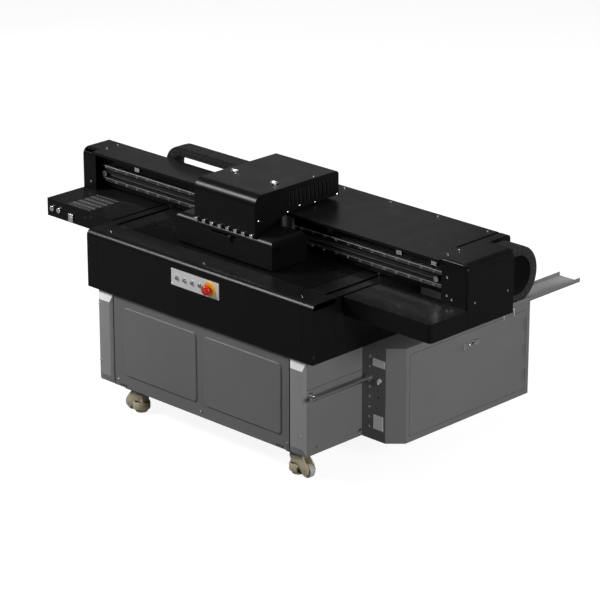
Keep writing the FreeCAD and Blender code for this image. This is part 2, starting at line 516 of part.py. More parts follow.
def print_head():
    w = SHEET
    body = box(HEAD_X0, HEAD_X1, HEAD_Y0, HEAD_Y1, HEAD_Z0, HEAD_Z1)
    body = fillet(body, 24, lambda p: near(p.z, HEAD_Z1) and (near(p.x, HEAD_X0) or near(p.x, HEAD_X1)))
    inner = box(HEAD_X0 + w, HEAD_X1 - w, HEAD_Y0 + w, HEAD_Y1 - w, HEAD_Z0 - 1, HEAD_Z1 - w)
    inner = fillet(inner, 21, lambda p: near(p.z, HEAD_Z1 - w) and not (near(p.z, HEAD_Z0)))
    body = body.cut(inner)
    body = body.cut(box(546, 670, HEAD_Y0 - 1, HEAD_Y0 + w + 1, 318, 326))
    for i in range(3):
        y = 156 + i * 9
        body = body.cut(box(HEAD_X1 - w - 1, HEAD_X1 + 1, y, y + 4, 292, 318))
    save("head_body", body)
    solids = [box(x, x + 60, 170, 300, HEAD_Z0 + 1, HEAD_Z0 + 75) for x in (500.0, 570.0, 640.0)]
    lamps = [box(x, x + 70, 165, 305, HEAD_Z0 + 2, HEAD_Z0 + 60) for x in (HEAD_X0 + 20, HEAD_X1 - 90)]
    mount = box(HEAD_X0 + 10, HEAD_X1 - 10, 160, 310, HEAD_Z0 + 76, HEAD_Z0 + 80)
    save("print_heads", mount, *(solids + lamps))
    tab = box(638, 648, HEAD_Y0 - 7, HEAD_Y0 + 8, 319, 325)
    grip = box(637, 649, HEAD_Y0 - 10, HEAD_Y0 - 1, 300, 325)
    save("head_slider", tab.fuse(fillet(grip, 2, lambda p: near(p.y, HEAD_Y0 - 10))).removeSplitter())
    for name, x in (("lid_knob_left", 500.0), ("lid_knob_right", 708.0)):
        knob = rod(17, (x, 303, HOOD_Z1 + 0.3), Z, 9)
        knob = knob.makeFillet(3, [e for e in knob.Edges if near(e.BoundBox.ZMin, HOOD_Z1 + 9.3)])
        save(name, knob.cut(box(x - 14, x + 14, 301, 305, HOOD_Z1 + 7.3, HOOD_Z1 + 12)))


# ---------------------------------------------------------------- fasteners
def screws():
    y_front = BASE_Y0
    base = [screw_head(x, y_front - COLUMN_PROUD, z, V(0, -1, 0)) for x, z in
            ((60, -291), (60, -60), (1140, -291), (1140, -60))]
    base += [screw_head(x, y_front, z, V(0, -1, 0)) for x, z in ((150, -345), (607, -349), (1060, -345))]
    base += [screw_head(1195, CAB_Y0, -50 - i * 39.4, V(0, -1, 0), 5) for i in range(8) if i != 2]
    base += [screw_head(BASE_X1, y, z, X) for y, z in ((64, -351), (285, -351), (73, -32))]
    base += [screw_head(x, 42, APRON_H, Z) for x in (92, 600, 1108)]
    save("base_screws", *base)
    top = GANTRY_TOP
    gantry = [screw_head(-318, y, top, Z, 4) for y in (397, 455)]
    gantry += [screw_head(x, 682, top, Z, 4) for x in (708, 945, 1182, 1424)]
    gantry += [screw_head(1488, y, top, Z, 4) for y in (392, 453)]
    gantry += [screw_head(-353, END_Y0, 263, V(0, -1, 0), 4)]
    gantry += [screw_head(x, END_Y0, z, V(0, -1, 0), 4) for x, z in ((1533, 334), (1533, 264), (1556, 254))]
    gantry += [screw_head(GANTRY_X1, y, 252, X, 4) for y in (380, 558)]
    gantry += [box(x - 13, x + 13, BEAM_Y0 - 8, BEAM_Y0, 343, 359) for x in (-126, 921, 1265, 1434)]
    locks = [rod(11, (x, HOUSING_Y0 - 8, 193), Y, 8) for x in (-366, -327)]
    gantry += [c.makeFillet(2, [e for e in c.Edges if near(e.BoundBox.YMax, HOUSING_Y0 - 8)]) for c in locks]
    save("gantry_screws", *gantry)


# ---------------------------------------------------------------- casters
def casters():
    names = ("front_left", "front_right", "back_left", "back_right")
    spots = [(x, y) for y in CASTER_Y for x in CASTER_X]
    turns = (-90, 90, 0, 0)
    top = -BASE_H - 6.5
    for name, turn, (x, y) in zip(names, turns, spots):
        wy, wz = y - WHEEL_TRAIL, FLOOR_Z + WHEEL_R
        hub = rod(24, (x, y, top - 10), Z, 10)
        fork = box(x - 22, x + 22, wy - 16, y + 18, top - 26, top - 10)
        for side in (-1, 1):
            cheek = box(x + side * 18 - 4, x + side * 18 + 4, wy - 16, wy + 16, wz - 4, top - 20)
            fork = fork.fuse(cheek)
        axle = rod(4, (x - 22, wy, wz), X, 44)
        foot = rod(FOOT_R, (x, y + FOOT_BACK, FLOOR_Z + 4), Z, 8)
        foot = foot.fuse([rod(6, (x, y + FOOT_BACK, FLOOR_Z + 12), Z, top - 20 - FLOOR_Z - 12),
                          rod(FOOT_R, (x, y + FOOT_BACK, FLOOR_Z + 30), Z, 9)])
        caster = hub.fuse([fork, axle, foot]).removeSplitter()
        caster.rotate(V(x, y, 0), Z, turn)
        save("caster_" + name, caster)
        wheel = ring(WHEEL_R, 4.06, (x - WHEEL_W / 2, wy, wz), X, WHEEL_W)
        rims = [e for e in wheel.Edges if len(e.Vertexes) == 1 and near(e.BoundBox.ZMax - e.BoundBox.ZMin, 2 * WHEEL_R)]
        wheel = wheel.makeFillet(3, rims)
        wheel.rotate(V(x, y, 0), Z, turn)
        save("wheel_" + name, wheel)


for make in (base_frame, base_panels, corner_columns, side_bar, cabinet_panels, cabinet_door, electronics,
             apron, deck_and_table, y_drive, control_panel, x_chain, y_chain, chain_tray, beam, x_rails,
             x_belt_drive, end_covers, housings, covers_and_trough, gantry_legs, carriage_plate,
             carriage_cover, print_head, screws, casters):
    make()
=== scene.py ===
import json
import math

import bmesh
import bpy
from bpy.props import FloatProperty, FloatVectorProperty, IntProperty, PointerProperty
from mathutils import Matrix, Vector


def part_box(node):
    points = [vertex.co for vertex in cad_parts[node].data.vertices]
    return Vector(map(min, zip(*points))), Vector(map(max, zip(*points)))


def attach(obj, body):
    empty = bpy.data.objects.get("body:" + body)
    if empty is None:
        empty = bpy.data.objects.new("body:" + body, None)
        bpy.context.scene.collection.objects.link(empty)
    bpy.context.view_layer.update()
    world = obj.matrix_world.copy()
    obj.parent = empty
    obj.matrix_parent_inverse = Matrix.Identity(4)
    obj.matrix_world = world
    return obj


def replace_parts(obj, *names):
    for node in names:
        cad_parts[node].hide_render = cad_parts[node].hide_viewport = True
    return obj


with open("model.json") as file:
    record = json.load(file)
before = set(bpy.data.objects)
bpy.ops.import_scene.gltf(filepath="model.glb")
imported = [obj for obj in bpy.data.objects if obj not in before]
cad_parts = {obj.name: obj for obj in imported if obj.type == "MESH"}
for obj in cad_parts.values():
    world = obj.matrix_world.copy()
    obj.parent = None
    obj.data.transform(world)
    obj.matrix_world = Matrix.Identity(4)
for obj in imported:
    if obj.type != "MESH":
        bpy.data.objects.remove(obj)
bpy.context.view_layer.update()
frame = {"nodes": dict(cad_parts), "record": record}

bl_info = {
    "name": "Flatbed UV printer",
    "version": (1, 0, 0),
    "blender": (4, 5, 0),
    "location": "View3D > Sidebar > UV printer",
    "description": "Links, perforations, fittings and finishes for a flatbed UV printer",
    "category": "Object",
}

UP = Vector((0, 0, 1))
RIGHT = Vector((1, 0, 0))
BACK = Vector((0, 1, 0))
MM = 0.001
FLOOR_GLOW = 0.90
SHARP_ANGLE = 32.0  # degrees
HOLE_FACE = 0.00001  # square metres: any smaller face of the bed lies in a suction hole

# the frame's own corners, which every piece is placed from
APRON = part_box("apron_front")
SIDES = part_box("apron_sides")
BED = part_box("vacuum_table")
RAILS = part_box("x_rails")
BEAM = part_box("beam")
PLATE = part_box("control_plate")
LEFT_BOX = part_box("housing_left")
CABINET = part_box("cabinet_panels")
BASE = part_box("base_side_panels")
CORNER = SIDES[0]


def at(x, y, z):
    """A place in millimetres from the apron's front left bottom corner."""
    return CORNER + Vector((x, y, z)) * MM


# ---------------------------------------------------------------- settings
class PrinterSizes(bpy.types.PropertyGroup):
    rail_bolt_pitch: FloatProperty(
        name="Rail bolt pitch", description="Distance from one rail bolt to the next",
        default=0.060, min=0.02, unit="LENGTH", subtype="DISTANCE")
    bed_hole_pitch: FloatProperty(
        name="Bed hole pitch", description="Distance between the suction holes of the bed",
        default=0.0265, min=0.01, unit="LENGTH", subtype="DISTANCE")
    bed_hole: FloatProperty(
        name="Bed hole", description="Width of a suction hole",
        default=0.0026, min=0.001, unit="LENGTH", subtype="DISTANCE")
    chain_height: FloatProperty(
        name="Chain height", description="Height of a link of the energy chains",
        default=0.035, min=0.01, unit="LENGTH", subtype="DISTANCE")
    x_chain_run: FloatProperty(
        name="X chain upper run", description="Length of the upper run that the inner links slide into",
        default=0.455, min=0.1, unit="LENGTH", subtype="DISTANCE")
    y_chain_run: FloatProperty(
        name="Y chain upper run", description="Length of the upper run that the inner links slide into",
        default=0.100, min=0.05, unit="LENGTH", subtype="DISTANCE")
    chain_pitch: FloatProperty(
        name="Chain pitch", description="Length of one link",
        default=0.0285, min=0.01, unit="LENGTH", subtype="DISTANCE")
    clip_count: IntProperty(
        name="Ink clips", description="Number of ink line clips under the hood's front edge",
        default=8, min=2, max=12)


class PrinterColours(bpy.types.PropertyGroup):
    powder: FloatVectorProperty(
        name="Powder coat", description="Black powder coat of the covers and the apron",
        default=(0.0034, 0.0034, 0.0036), size=3, subtype="COLOR", min=0, max=1)
    cabinet: FloatVectorProperty(
        name="Cabinet paint", description="Grey paint of the base and the side cabinet",
        default=(0.150, 0.150, 0.152), size=3, subtype="COLOR", min=0, max=1)
    tray: FloatVectorProperty(
        name="Tray paint", description="Light grey paint of the chain tray",
        default=(0.42, 0.42, 0.43), size=3, subtype="COLOR", min=0, max=1)
    ivory: FloatVectorProperty(
        name="Caster nylon", description="Ivory nylon of the levelling casters",
        default=(0.47, 0.41, 0.29), size=3, subtype="COLOR", min=0, max=1)
    stop: FloatVectorProperty(
        name="Stop button", description="Red of the emergency stop",
        default=(0.62, 0.018, 0.012), size=3, subtype="COLOR", min=0, max=1)


def sizes():
    return bpy.context.scene.uv_printer_sizes


def colours():
    return bpy.context.scene.uv_printer_colours


# ---------------------------------------------------------------- shader groups
def group_tree(name, inputs, outputs):
    tree = bpy.data.node_groups.new(name, "ShaderNodeTree")
    for label, kind, default in inputs:
        socket = tree.interface.new_socket(name=label, in_out="INPUT", socket_type=kind)
        socket.default_value = default
    for label, kind in outputs:
        tree.interface.new_socket(name=label, in_out="OUTPUT", socket_type=kind)
    return tree, tree.nodes.new("NodeGroupInput"), tree.nodes.new("NodeGroupOutput")


def set_inputs(node, values):
    for label, value in values.items():
        node.inputs[label].default_value = value
    return node


def add_node(tree, kind, values):
    return set_inputs(tree.nodes.new(kind), values)


def add_math(tree, operation, first, second):
    node = tree.nodes.new("ShaderNodeMath")
    node.operation = operation
    for socket, source in zip(node.inputs, (first, second)):
        if isinstance(source, float):
            socket.default_value = source
        else:
            tree.links.new(source, socket)
    return node.outputs["Value"]


def grain_group():
    """Uneven speckle, stretched along an axis for brushed and ground metal."""
    if "Grain" in bpy.data.node_groups:
        return bpy.data.node_groups["Grain"]
    tree, inside, outside = group_tree(
        "Grain",
        [("Scale", "NodeSocketFloat", 60.0), ("Stretch", "NodeSocketVector", (1, 1, 1)),
         ("Low", "NodeSocketFloat", 0.4), ("High", "NodeSocketFloat", 0.6)],
        [("Value", "NodeSocketFloat")])
    place = tree.nodes.new("ShaderNodeTexCoord")
    stretch = tree.nodes.new("ShaderNodeVectorMath")
    stretch.operation = "MULTIPLY"
    noise = add_node(tree, "ShaderNodeTexNoise", {"Detail": 5.0, "Roughness": 0.6})
    level = add_node(tree, "ShaderNodeMapRange", {"From Min": 0.3, "From Max": 0.7})
    link = tree.links.new
    link(place.outputs["Object"], stretch.inputs[0])
    link(inside.outputs["Stretch"], stretch.inputs[1])
    link(stretch.outputs["Vector"], noise.inputs["Vector"])
    link(inside.outputs["Scale"], noise.inputs["Scale"])
    link(noise.outputs["Fac"], level.inputs["Value"])
    link(inside.outputs["Low"], level.inputs["To Min"])
    link(inside.outputs["High"], level.inputs["To Max"])
    link(level.outputs["Result"], outside.inputs["Value"])
    return tree


def dust_group():
    """Thin dust that settles on upward faces, in soft patches."""
    if "Dust" in bpy.data.node_groups:
        return bpy.data.node_groups["Dust"]
    tree, inside, outside = group_tree(
        "Dust", [("Amount", "NodeSocketFloat", 0.1), ("Scale", "NodeSocketFloat", 7.0)],
        [("Mask", "NodeSocketFloat")])
    place = tree.nodes.new("ShaderNodeTexCoord")
    facing = tree.nodes.new("ShaderNodeNewGeometry")
    split = tree.nodes.new("ShaderNodeSeparateXYZ")
    noise = add_node(tree, "ShaderNodeTexNoise", {"Detail": 8.0})
    upward = add_node(tree, "ShaderNodeMapRange", {"From Min": 0.55, "From Max": 1.0})
    link = tree.links.new
    link(place.outputs["Object"], noise.inputs["Vector"])
    link(inside.outputs["Scale"], noise.inputs["Scale"])
    link(facing.outputs["Normal"], split.inputs["Vector"])
    link(split.outputs["Z"], upward.inputs["Value"])
    patches = add_math(tree, "MULTIPLY", upward.outputs["Result"], noise.outputs["Fac"])
    link(add_math(tree, "MULTIPLY", patches, inside.outputs["Amount"]), outside.inputs["Mask"])
    return tree


# ---------------------------------------------------------------- materials
def surface(name, colour, metallic=0.0, specular=0.5, coat=0.0):
    material = bpy.data.materials.new(name)
    material.use_nodes = True
    shader = set_inputs(material.node_tree.nodes["Principled BSDF"], {
        "Base Color": (*colour, 1), "Metallic": metallic,
        "Specular IOR Level": specular, "Coat Weight": coat})
    return material, material.node_tree, shader


def add_group(tree, group, **values):
    node = tree.nodes.new("ShaderNodeGroup")
    node.node_tree = group
    return set_inputs(node, values)


def add_bump(tree, shader, height, distance, strength=0.5, edge=0.0):
    """Bump from a height value; edge rounds the corners of sheet metal for the light."""
    bump = add_node(tree, "ShaderNodeBump", {"Strength": strength, "Distance": distance})
    tree.links.new(height, bump.inputs["Height"])
    if edge:
        bevel = add_node(tree, "ShaderNodeBevel", {"Radius": edge})
        bevel.samples = 4
        tree.links.new(bevel.outputs["Normal"], bump.inputs["Normal"])
    tree.links.new(bump.outputs["Normal"], shader.inputs["Normal"])


def two_tone(tree, shader, mask, first, second):
    mix = tree.nodes.new("ShaderNodeMix")
    mix.data_type = "RGBA"
    mix.inputs["A"].default_value = (*first, 1)
    mix.inputs["B"].default_value = (*second, 1)
    tree.links.new(mask, mix.inputs["Factor"])
    tree.links.new(mix.outputs["Result"], shader.inputs["Base Color"])


def shaded(colour, share):
    return tuple(c * share for c in colour)


def lighter(colour, share):
    return tuple(c + (1 - c) * share for c in colour)


def powder_coat(name, colour, rough=(0.27, 0.34), specular=0.17, edge=0.0009, dust=0.5):
    """Powder coat with a fine orange peel and a little dust on top."""
    material, tree, shader = surface(name, colour, specular=specular)
    peel = add_group(tree, grain_group(), Scale=900.0, Low=0.0, High=1.0)
    cloud = add_group(tree, grain_group(), Scale=14.0, Low=rough[0], High=rough[1])
    settled = add_group(tree, dust_group(), Amount=dust)
    two_tone(tree, shader, settled.outputs["Mask"], colour, lighter(colour, 0.02))
    tree.links.new(cloud.outputs["Value"], shader.inputs["Roughness"])
    add_bump(tree, shader, peel.outputs["Value"], 0.00004, 0.35, edge=edge)
    return material


def smooth_paint(name, colour, rough=(0.36, 0.46)):
    """Even sheet metal paint, with faint cloudiness."""
    material, tree, shader = surface(name, colour, specular=0.4)
    cloud = add_group(tree, grain_group(), Scale=3.5, Low=0.0, High=1.0)
    peel = add_group(tree, grain_group(), Scale=700.0, Low=0.0, High=1.0)
    gloss = add_group(tree, grain_group(), Scale=22.0, Low=rough[0], High=rough[1])
    two_tone(tree, shader, cloud.outputs["Value"], shaded(colour, 0.95), shaded(colour, 1.05))
    tree.links.new(gloss.outputs["Value"], shader.inputs["Roughness"])
    add_bump(tree, shader, peel.outputs["Value"], 0.00003, 0.25, edge=0.0009)
    return material


def worked_metal(name, colour, stretch, rough=(0.22, 0.38), scale=900.0, depth=0.3, metallic=1.0):
    """Metal with fine lines left by grinding or brushing, across the long axis of stretch."""
    material, tree, shader = surface(name, colour, metallic=metallic)
    lines = add_group(tree, grain_group(), Scale=scale, Stretch=stretch, Low=0.0, High=1.0)
    gloss = add_group(tree, grain_group(), Scale=scale * 0.5, Stretch=stretch, Low=rough[0], High=rough[1])
    two_tone(tree, shader, lines.outputs["Value"], shaded(colour, 0.86), colour)
    tree.links.new(gloss.outputs["Value"], shader.inputs["Roughness"])
    add_bump(tree, shader, lines.outputs["Value"], 0.00002, depth)
    return material


def moulded(name, colour, rough=(0.42, 0.58), coat=0.0, depth=0.00004):
    """Moulded plastic with a fine texture."""
    material, tree, shader = surface(name, colour, specular=0.45, coat=coat)
    shader.inputs["Coat Roughness"].default_value = 0.12
    skin = add_group(tree, grain_group(), Scale=450.0, Low=0.0, High=1.0)
    gloss = add_group(tree, grain_group(), Scale=40.0, Low=rough[0], High=rough[1])
    cloud = add_group(tree, grain_group(), Scale=30.0, Low=0.0, High=1.0)
    two_tone(tree, shader, cloud.outputs["Value"], shaded(colour, 0.9), colour)
    tree.links.new(gloss.outputs["Value"], shader.inputs["Roughness"])
    add_bump(tree, shader, skin.outputs["Value"], depth, 0.4)
    return material


FINISH = {}


def make_finishes():
    tone = colours()
    FINISH.update({
        "powder_black": powder_coat("black_powder_coat", tuple(tone.powder)),
        "paint_grey": smooth_paint("grey_cabinet_paint", tuple(tone.cabinet)),
        "paint_light": smooth_paint("light_tray_paint", tuple(tone.tray)),
        "table_alloy": powder_coat("black_anodised_bed", (0.004, 0.004, 0.0042), rough=(0.24, 0.32),
                                   specular=0.05, edge=0.0, dust=0.15),
        "alloy": worked_metal("brushed_alloy", (0.50, 0.50, 0.51), (0.002, 1, 1), rough=(0.36, 0.42),
                              scale=3000.0, depth=0.05),
        "rail_steel": worked_metal("ground_rail_steel", (0.15, 0.15, 0.155), (0.001, 1, 1),
                                   rough=(0.26, 0.30), scale=4000.0, depth=0.04),
        # near-white with low metallic: the light grey is partly the steel's own colour and partly painted
        # reflection
        "panel_steel": worked_metal("brushed_stainless_and_painted_sheen", (0.86, 0.86, 0.85), (0.03, 1, 1),
                                    rough=(0.28, 0.42), metallic=0.35),
        "screw_steel": worked_metal("nickel_plate", (0.90, 0.90, 0.91), (1, 1, 1), rough=(0.14, 0.26),
                                    scale=300.0),
        "chain_plastic": moulded("black_chain_nylon", (0.012, 0.012, 0.0125), rough=(0.44, 0.56)),
        "belt_rubber": moulded("black_belt", (0.010, 0.010, 0.010), rough=(0.55, 0.70)),
        "red_plastic": moulded("red_button", tuple(tone.stop), rough=(0.22, 0.30), coat=0.4, depth=0.00001),
        "yellow_plastic": moulded("yellow_collar", (0.86, 0.42, 0.02), rough=(0.30, 0.38), coat=0.2,
                                  depth=0.00001),
        "button_plastic": moulded("grey_button_cap", (0.17, 0.19, 0.20), rough=(0.25, 0.33), coat=0.2,
                                  depth=0.00001),
        "ivory_plastic": moulded("ivory_nylon", tuple(tone.ivory), rough=(0.38, 0.50)),
        "wheel_nylon": moulded("pale_wheel_nylon", (0.48, 0.48, 0.47), rough=(0.38, 0.50)),
        # white paint, also used as a painted highlight on the corner posts' upper facets
        "white_sheet": smooth_paint("white_paint_and_painted_highlight", (0.82, 0.82, 0.81)),
        "post_paint": smooth_paint("post_paint", (0.27, 0.27, 0.272), rough=(0.20, 0.26)),
        "grating": smooth_paint("grating_paint", (0.12, 0.12, 0.122)),
        # near-black: the own colour of black plugs and bolt heads, and painted shade in holes, cells, slots,
        # vents and sockets
        "dark": moulded("black_plugs_and_painted_shade", (0.002, 0.002, 0.002), rough=(0.7, 0.85)),
        "seam": moulded("rubber_seal", (0.006, 0.006, 0.006), rough=(0.6, 0.75)),
    })


# ---------------------------------------------------------------- mesh tools
def finish_piece(bm, name, body, slot, finish=None):
    """Turn a bmesh into one object that rides on a body and takes a record slot's finish."""
    mesh = bpy.data.meshes.new(name)
    bm.to_mesh(mesh)
    bm.free()
    mesh.materials.append(FINISH[finish or slot])
    mesh.polygons.foreach_set("use_smooth", [True] * len(mesh.polygons))
    mesh.set_sharp_from_angle(angle=math.radians(SHARP_ANGLE))
    piece = bpy.data.objects.new(name, mesh)
    bpy.context.scene.collection.objects.link(piece)
    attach(piece, body)
    return piece


def second_finish(piece, finish, chosen):
    """Give the faces that pass a test another finish."""
    piece.data.materials.append(FINISH[finish])
    for face in piece.data.polygons:
        if chosen(face):
            face.material_index = 1
    return piece


def bevel_edges(bm, edges, offset, segments):
    bmesh.ops.bevel(bm, geom=edges, offset=offset, offset_type="OFFSET", affect="EDGES",
                    segments=segments, profile=0.5, material=-1)


def add_block(bm, low, high, bevel=0.0, segments=2):
    low, high = Vector(low), Vector(high)
    size = high - low
    matrix = Matrix.Translation((low + high) / 2) @ Matrix.Diagonal((size.x, size.y, size.z, 1))
    made = bmesh.ops.create_cube(bm, size=1.0, matrix=matrix)["verts"]
    if bevel:
        bevel_edges(bm, list({edge for vert in made for edge in vert.link_edges}), bevel, segments)
    return bm


def aim(axis, centre):
    """Matrix that turns local +Z onto an axis and moves the local origin to a centre."""
    turn = UP.rotation_difference(Vector(axis)).to_matrix().to_4x4()
    return Matrix.Translation(centre) @ turn


def add_lathe(bm, profile, axis, centre, steps=32):
    """Turn a profile of (radius, height) pairs about an axis through a centre."""
    part = bmesh.new()
    points = [part.verts.new((radius, 0, height)) for radius, height in profile]
    edges = [part.edges.new(pair) for pair in zip(points, points[1:])]
    bmesh.ops.spin(part, geom=points + edges, cent=(0, 0, 0), axis=UP, angle=math.tau, steps=steps,
                   use_merge=True)
    bmesh.ops.remove_doubles(part, verts=part.verts, dist=1e-7)
    bmesh.ops.recalc_face_normals(part, faces=part.faces)
    return join(bm, part, [aim(axis, centre)])


def turned(profile, axis, centre, steps=32):
    return add_lathe(bmesh.new(), profile, axis, centre, steps)


def add_cap(bm, axis, centre, top, foot, height, steps=20):
    """Low round cap, flat on top with a slanted rim."""
    return add_lathe(bm, [(0, height), (top, height), (foot, 0.0)], axis, centre, steps)


def both_ends(profile):
    """A lathe profile and its mirror image across the middle."""
    return profile + [(radius, -height) for radius, height in reversed(profile)]


def join(bm, part, matrices):
    """Add a copy of a part to bm at each matrix; the part is used up."""
    pattern = bpy.data.meshes.new("pattern")
    part.to_mesh(pattern)
    part.free()
    for matrix in matrices:
        pattern.transform(matrix)
        bm.from_mesh(pattern)
        pattern.transform(matrix.inverted())
    bpy.data.meshes.remove(pattern)
    return bm


def perforated(low, high, columns, rows, hole, depth):
    """Plate with a grid of eight sided holes sunk into its top face."""
    bm = bmesh.new()
    low, high = Vector(low), Vector(high)
    size = high - low
    matrix = Matrix.Translation(((low.x + high.x) / 2, (low.y + high.y) / 2, high.z)) @ \
        Matrix.Diagonal((size.x / 2, size.y / 2, 1, 1))
    bmesh.ops.create_grid(bm, x_segments=columns, y_segments=rows, size=1.0, matrix=matrix)
    rim = [edge for edge in bm.edges if edge.is_boundary]
    skirt = bmesh.ops.extrude_edge_only(bm, edges=rim)["geom"]
    skirt_verts = [item for item in skirt if isinstance(item, bmesh.types.BMVert)]
    bmesh.ops.translate(bm, vec=(0, 0, -size.z), verts=skirt_verts)
    bottom = [item for item in skirt if isinstance(item, bmesh.types.BMEdge)]
    bmesh.ops.contextual_create(bm, geom=bottom)
    bmesh.ops.recalc_face_normals(bm, faces=bm.faces)
    cells = [face for face in bm.faces if len(face.verts) == 4 and face.normal.z > 0.5]
    for face in cells:
        span = [max(v.co[i] for v in face.verts) - min(v.co[i] for v in face.verts) for i in (0, 1)]
        middle = face.calc_center_median()
        bmesh.ops.inset_individual(bm, faces=[face], thickness=0.0005, use_even_offset=True)
        for vert in face.verts:
            for i in (0, 1):
                share = hole[i] / (span[i] - 0.001)
                vert.co[i] = middle[i] + (vert.co[i] - middle[i]) * share
    corner = min(hole) * 0.29
    bmesh.ops.bevel(bm, geom=[v for face in cells for v in face.verts], offset=corner, offset_type="OFFSET",
                    affect="VERTICES", segments=1, profile=0.5, material=-1)
    holes = [face for face in bm.faces if len(face.verts) == 8 and face.normal.z > 0.5
             and face.calc_area() < hole[0] * hole[1] * 1.01]
    sunk = bmesh.ops.extrude_discrete_faces(bm, faces=holes)["faces"]
    bmesh.ops.translate(bm, vec=(0, 0, -depth), verts=[v for face in sunk for v in face.verts])
    return bm


# ---------------------------------------------------------------- energy chains
def add_joint(width, height, proud):
    """Rib round a link's end and the pivot at each side, centred on the joint."""
    bm = bmesh.new()
    for side in (-1, 1):
        outer, inner = side * (width / 2 + proud), side * width / 2
        add_block(bm, (-0.0010, min(outer, inner), -height / 2 + 0.0015),
                  (0.0010, max(outer, inner), height / 2 - 0.0015), bevel=0.0003, segments=1)
        add_cap(bm, (0, side, 0), (0, inner, 0), height * 0.15, height * 0.19, proud, steps=12)
        outer, inner = side * (height / 2 + proud * 0.6), side * height / 2
        add_block(bm, (-0.0007, -width / 2 + 0.002, min(outer, inner)),
                  (0.0007, width / 2 - 0.002, max(outer, inner)), bevel=0.0002, segments=1)
    return bm


def loop_joints(pitch, height, radius, runs):
    """Places and angles of the joints round a half loop and along both runs, in (x, z)."""
    middle = radius - height / 2
    turns = round(math.pi * middle / pitch)
    spots = []
    for i in range(turns + 1):
        angle = math.pi / 2 + math.pi * i / turns
        spots.append((middle * math.cos(angle), middle * math.sin(angle), angle + math.pi / 2))
    for run, side in zip(runs, (1, -1)):
        spots += [(pitch * (i + 1), side * middle, 0.0) for i in range(int(run / pitch - 0.6))]
    return spots


def lay_joints(spots, joint, centre, along, across, name, body):
    """Lay one joint at every place, in the plane of the travel and the vertical."""
    basis = Matrix((along, across, UP)).transposed().to_4x4()
    start = Matrix.Translation(centre) @ basis
    places = [start @ Matrix.Translation((x, 0, z)) @ Matrix.Rotation(-angle, 4, "Y")
              for x, z, angle in spots]
    return finish_piece(join(bmesh.new(), joint, places), name, body, "chain_plastic")


def core_joints(node, pitch, along, name, body):
    """Joints along the straight section that slides inside the upper run."""
    low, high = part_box(node)
    across = UP.cross(along)
    length = abs((high - low).dot(along))
    width = abs((high - low).dot(across))
    joint = add_joint(width, high.z - low.z, 0.0006)
    spots = [(pitch * (i + 0.5) - length / 2, 0.0, 0.0) for i in range(int(length / pitch))]
    return lay_joints(spots, joint, (low + high) / 2, along, across, name, body)


class UVPRINTER_OT_energy_chains(bpy.types.Operator):
    """Add the joints of both energy chains and of the sections that slide inside them"""
    bl_idname = "uvprinter.energy_chains"
    bl_label = "Energy chains"

    def execute(self, context):
        size = sizes()
        height, pitch = size.chain_height, size.chain_pitch
        low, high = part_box("x_chain")
        radius = (high.z - low.z) / 2
        centre = Vector((low.x + radius, (low.y + high.y) / 2, low.z + radius))
        joint = add_joint(high.y - low.y, height, 0.0012)
        spots = loop_joints(pitch, height, radius, (size.x_chain_run, high.x - centre.x))
        lay_joints(spots, joint, centre, RIGHT, BACK, "x_chain_joints", "chain_x")
        core_joints("x_chain_core", pitch, RIGHT, "x_core_joints", "chain_x_core")

        low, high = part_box("y_chain")
        radius = (high.z - low.z) / 2
        centre = Vector(((low.x + high.x) / 2, high.y - radius, low.z + radius))
        joint = add_joint(high.x - low.x, height, 0.0012)
        spots = loop_joints(pitch, height, radius, (size.y_chain_run, centre.y - low.y))
        lay_joints(spots, joint, centre, -BACK, RIGHT, "y_chain_joints", "chain_y")
        core_joints("y_chain_core", pitch, BACK, "y_core_joints", "chain_y_core")
        return {"FINISHED"}


# ---------------------------------------------------------------- bed and trays
class UVPRINTER_OT_vacuum_bed(bpy.types.Operator):
    """Build the vacuum bed with its grid of suction holes"""
    bl_idname = "uvprinter.vacuum_bed"
    bl_label = "Vacuum bed"

    def execute(self, context):
        size = sizes()
        span = BED[1] - BED[0]
        columns = round(span.x / size.bed_hole_pitch)
        rows = round(span.y / size.bed_hole_pitch)
        bm = perforated(BED[0], BED[1], columns, rows, (size.bed_hole, size.bed_hole), 0.003)
        bed = finish_piece(bm, "vacuum_bed", "base", "table_alloy")
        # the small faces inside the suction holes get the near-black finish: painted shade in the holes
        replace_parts(second_finish(bed, "dark", lambda face: face.area < HOLE_FACE), "vacuum_table")
        return {"FINISHED"}


class UVPRINTER_OT_service_grating(bpy.types.Operator):
    """Build the grating in the top of the left housing"""
    bl_idname = "uvprinter.service_grating"
    bl_label = "Service grating"

    def execute(self, context):
        x0, y0 = LEFT_BOX[0].x + 0.1105, LEFT_BOX[0].y + 0.0065
        low = Vector((x0, y0, LEFT_BOX[1].z - 0.0026))
        high = Vector((x0 + 0.131, y0 + 0.157, LEFT_BOX[1].z - 0.0008))
        bm = perforated(low, high, 8, 5, (0.0125, 0.0240), 0.0014)
        grating = finish_piece(bm, "service_grating", "gantry", "powder_black", "grating")
        # the cell bottoms below the grating's top get the near-black finish: painted shade in the openings
        second_finish(grating, "dark", lambda face: face.normal.z > 0.9 and face.center.z < high.z - 0.0004)
        return {"FINISHED"}


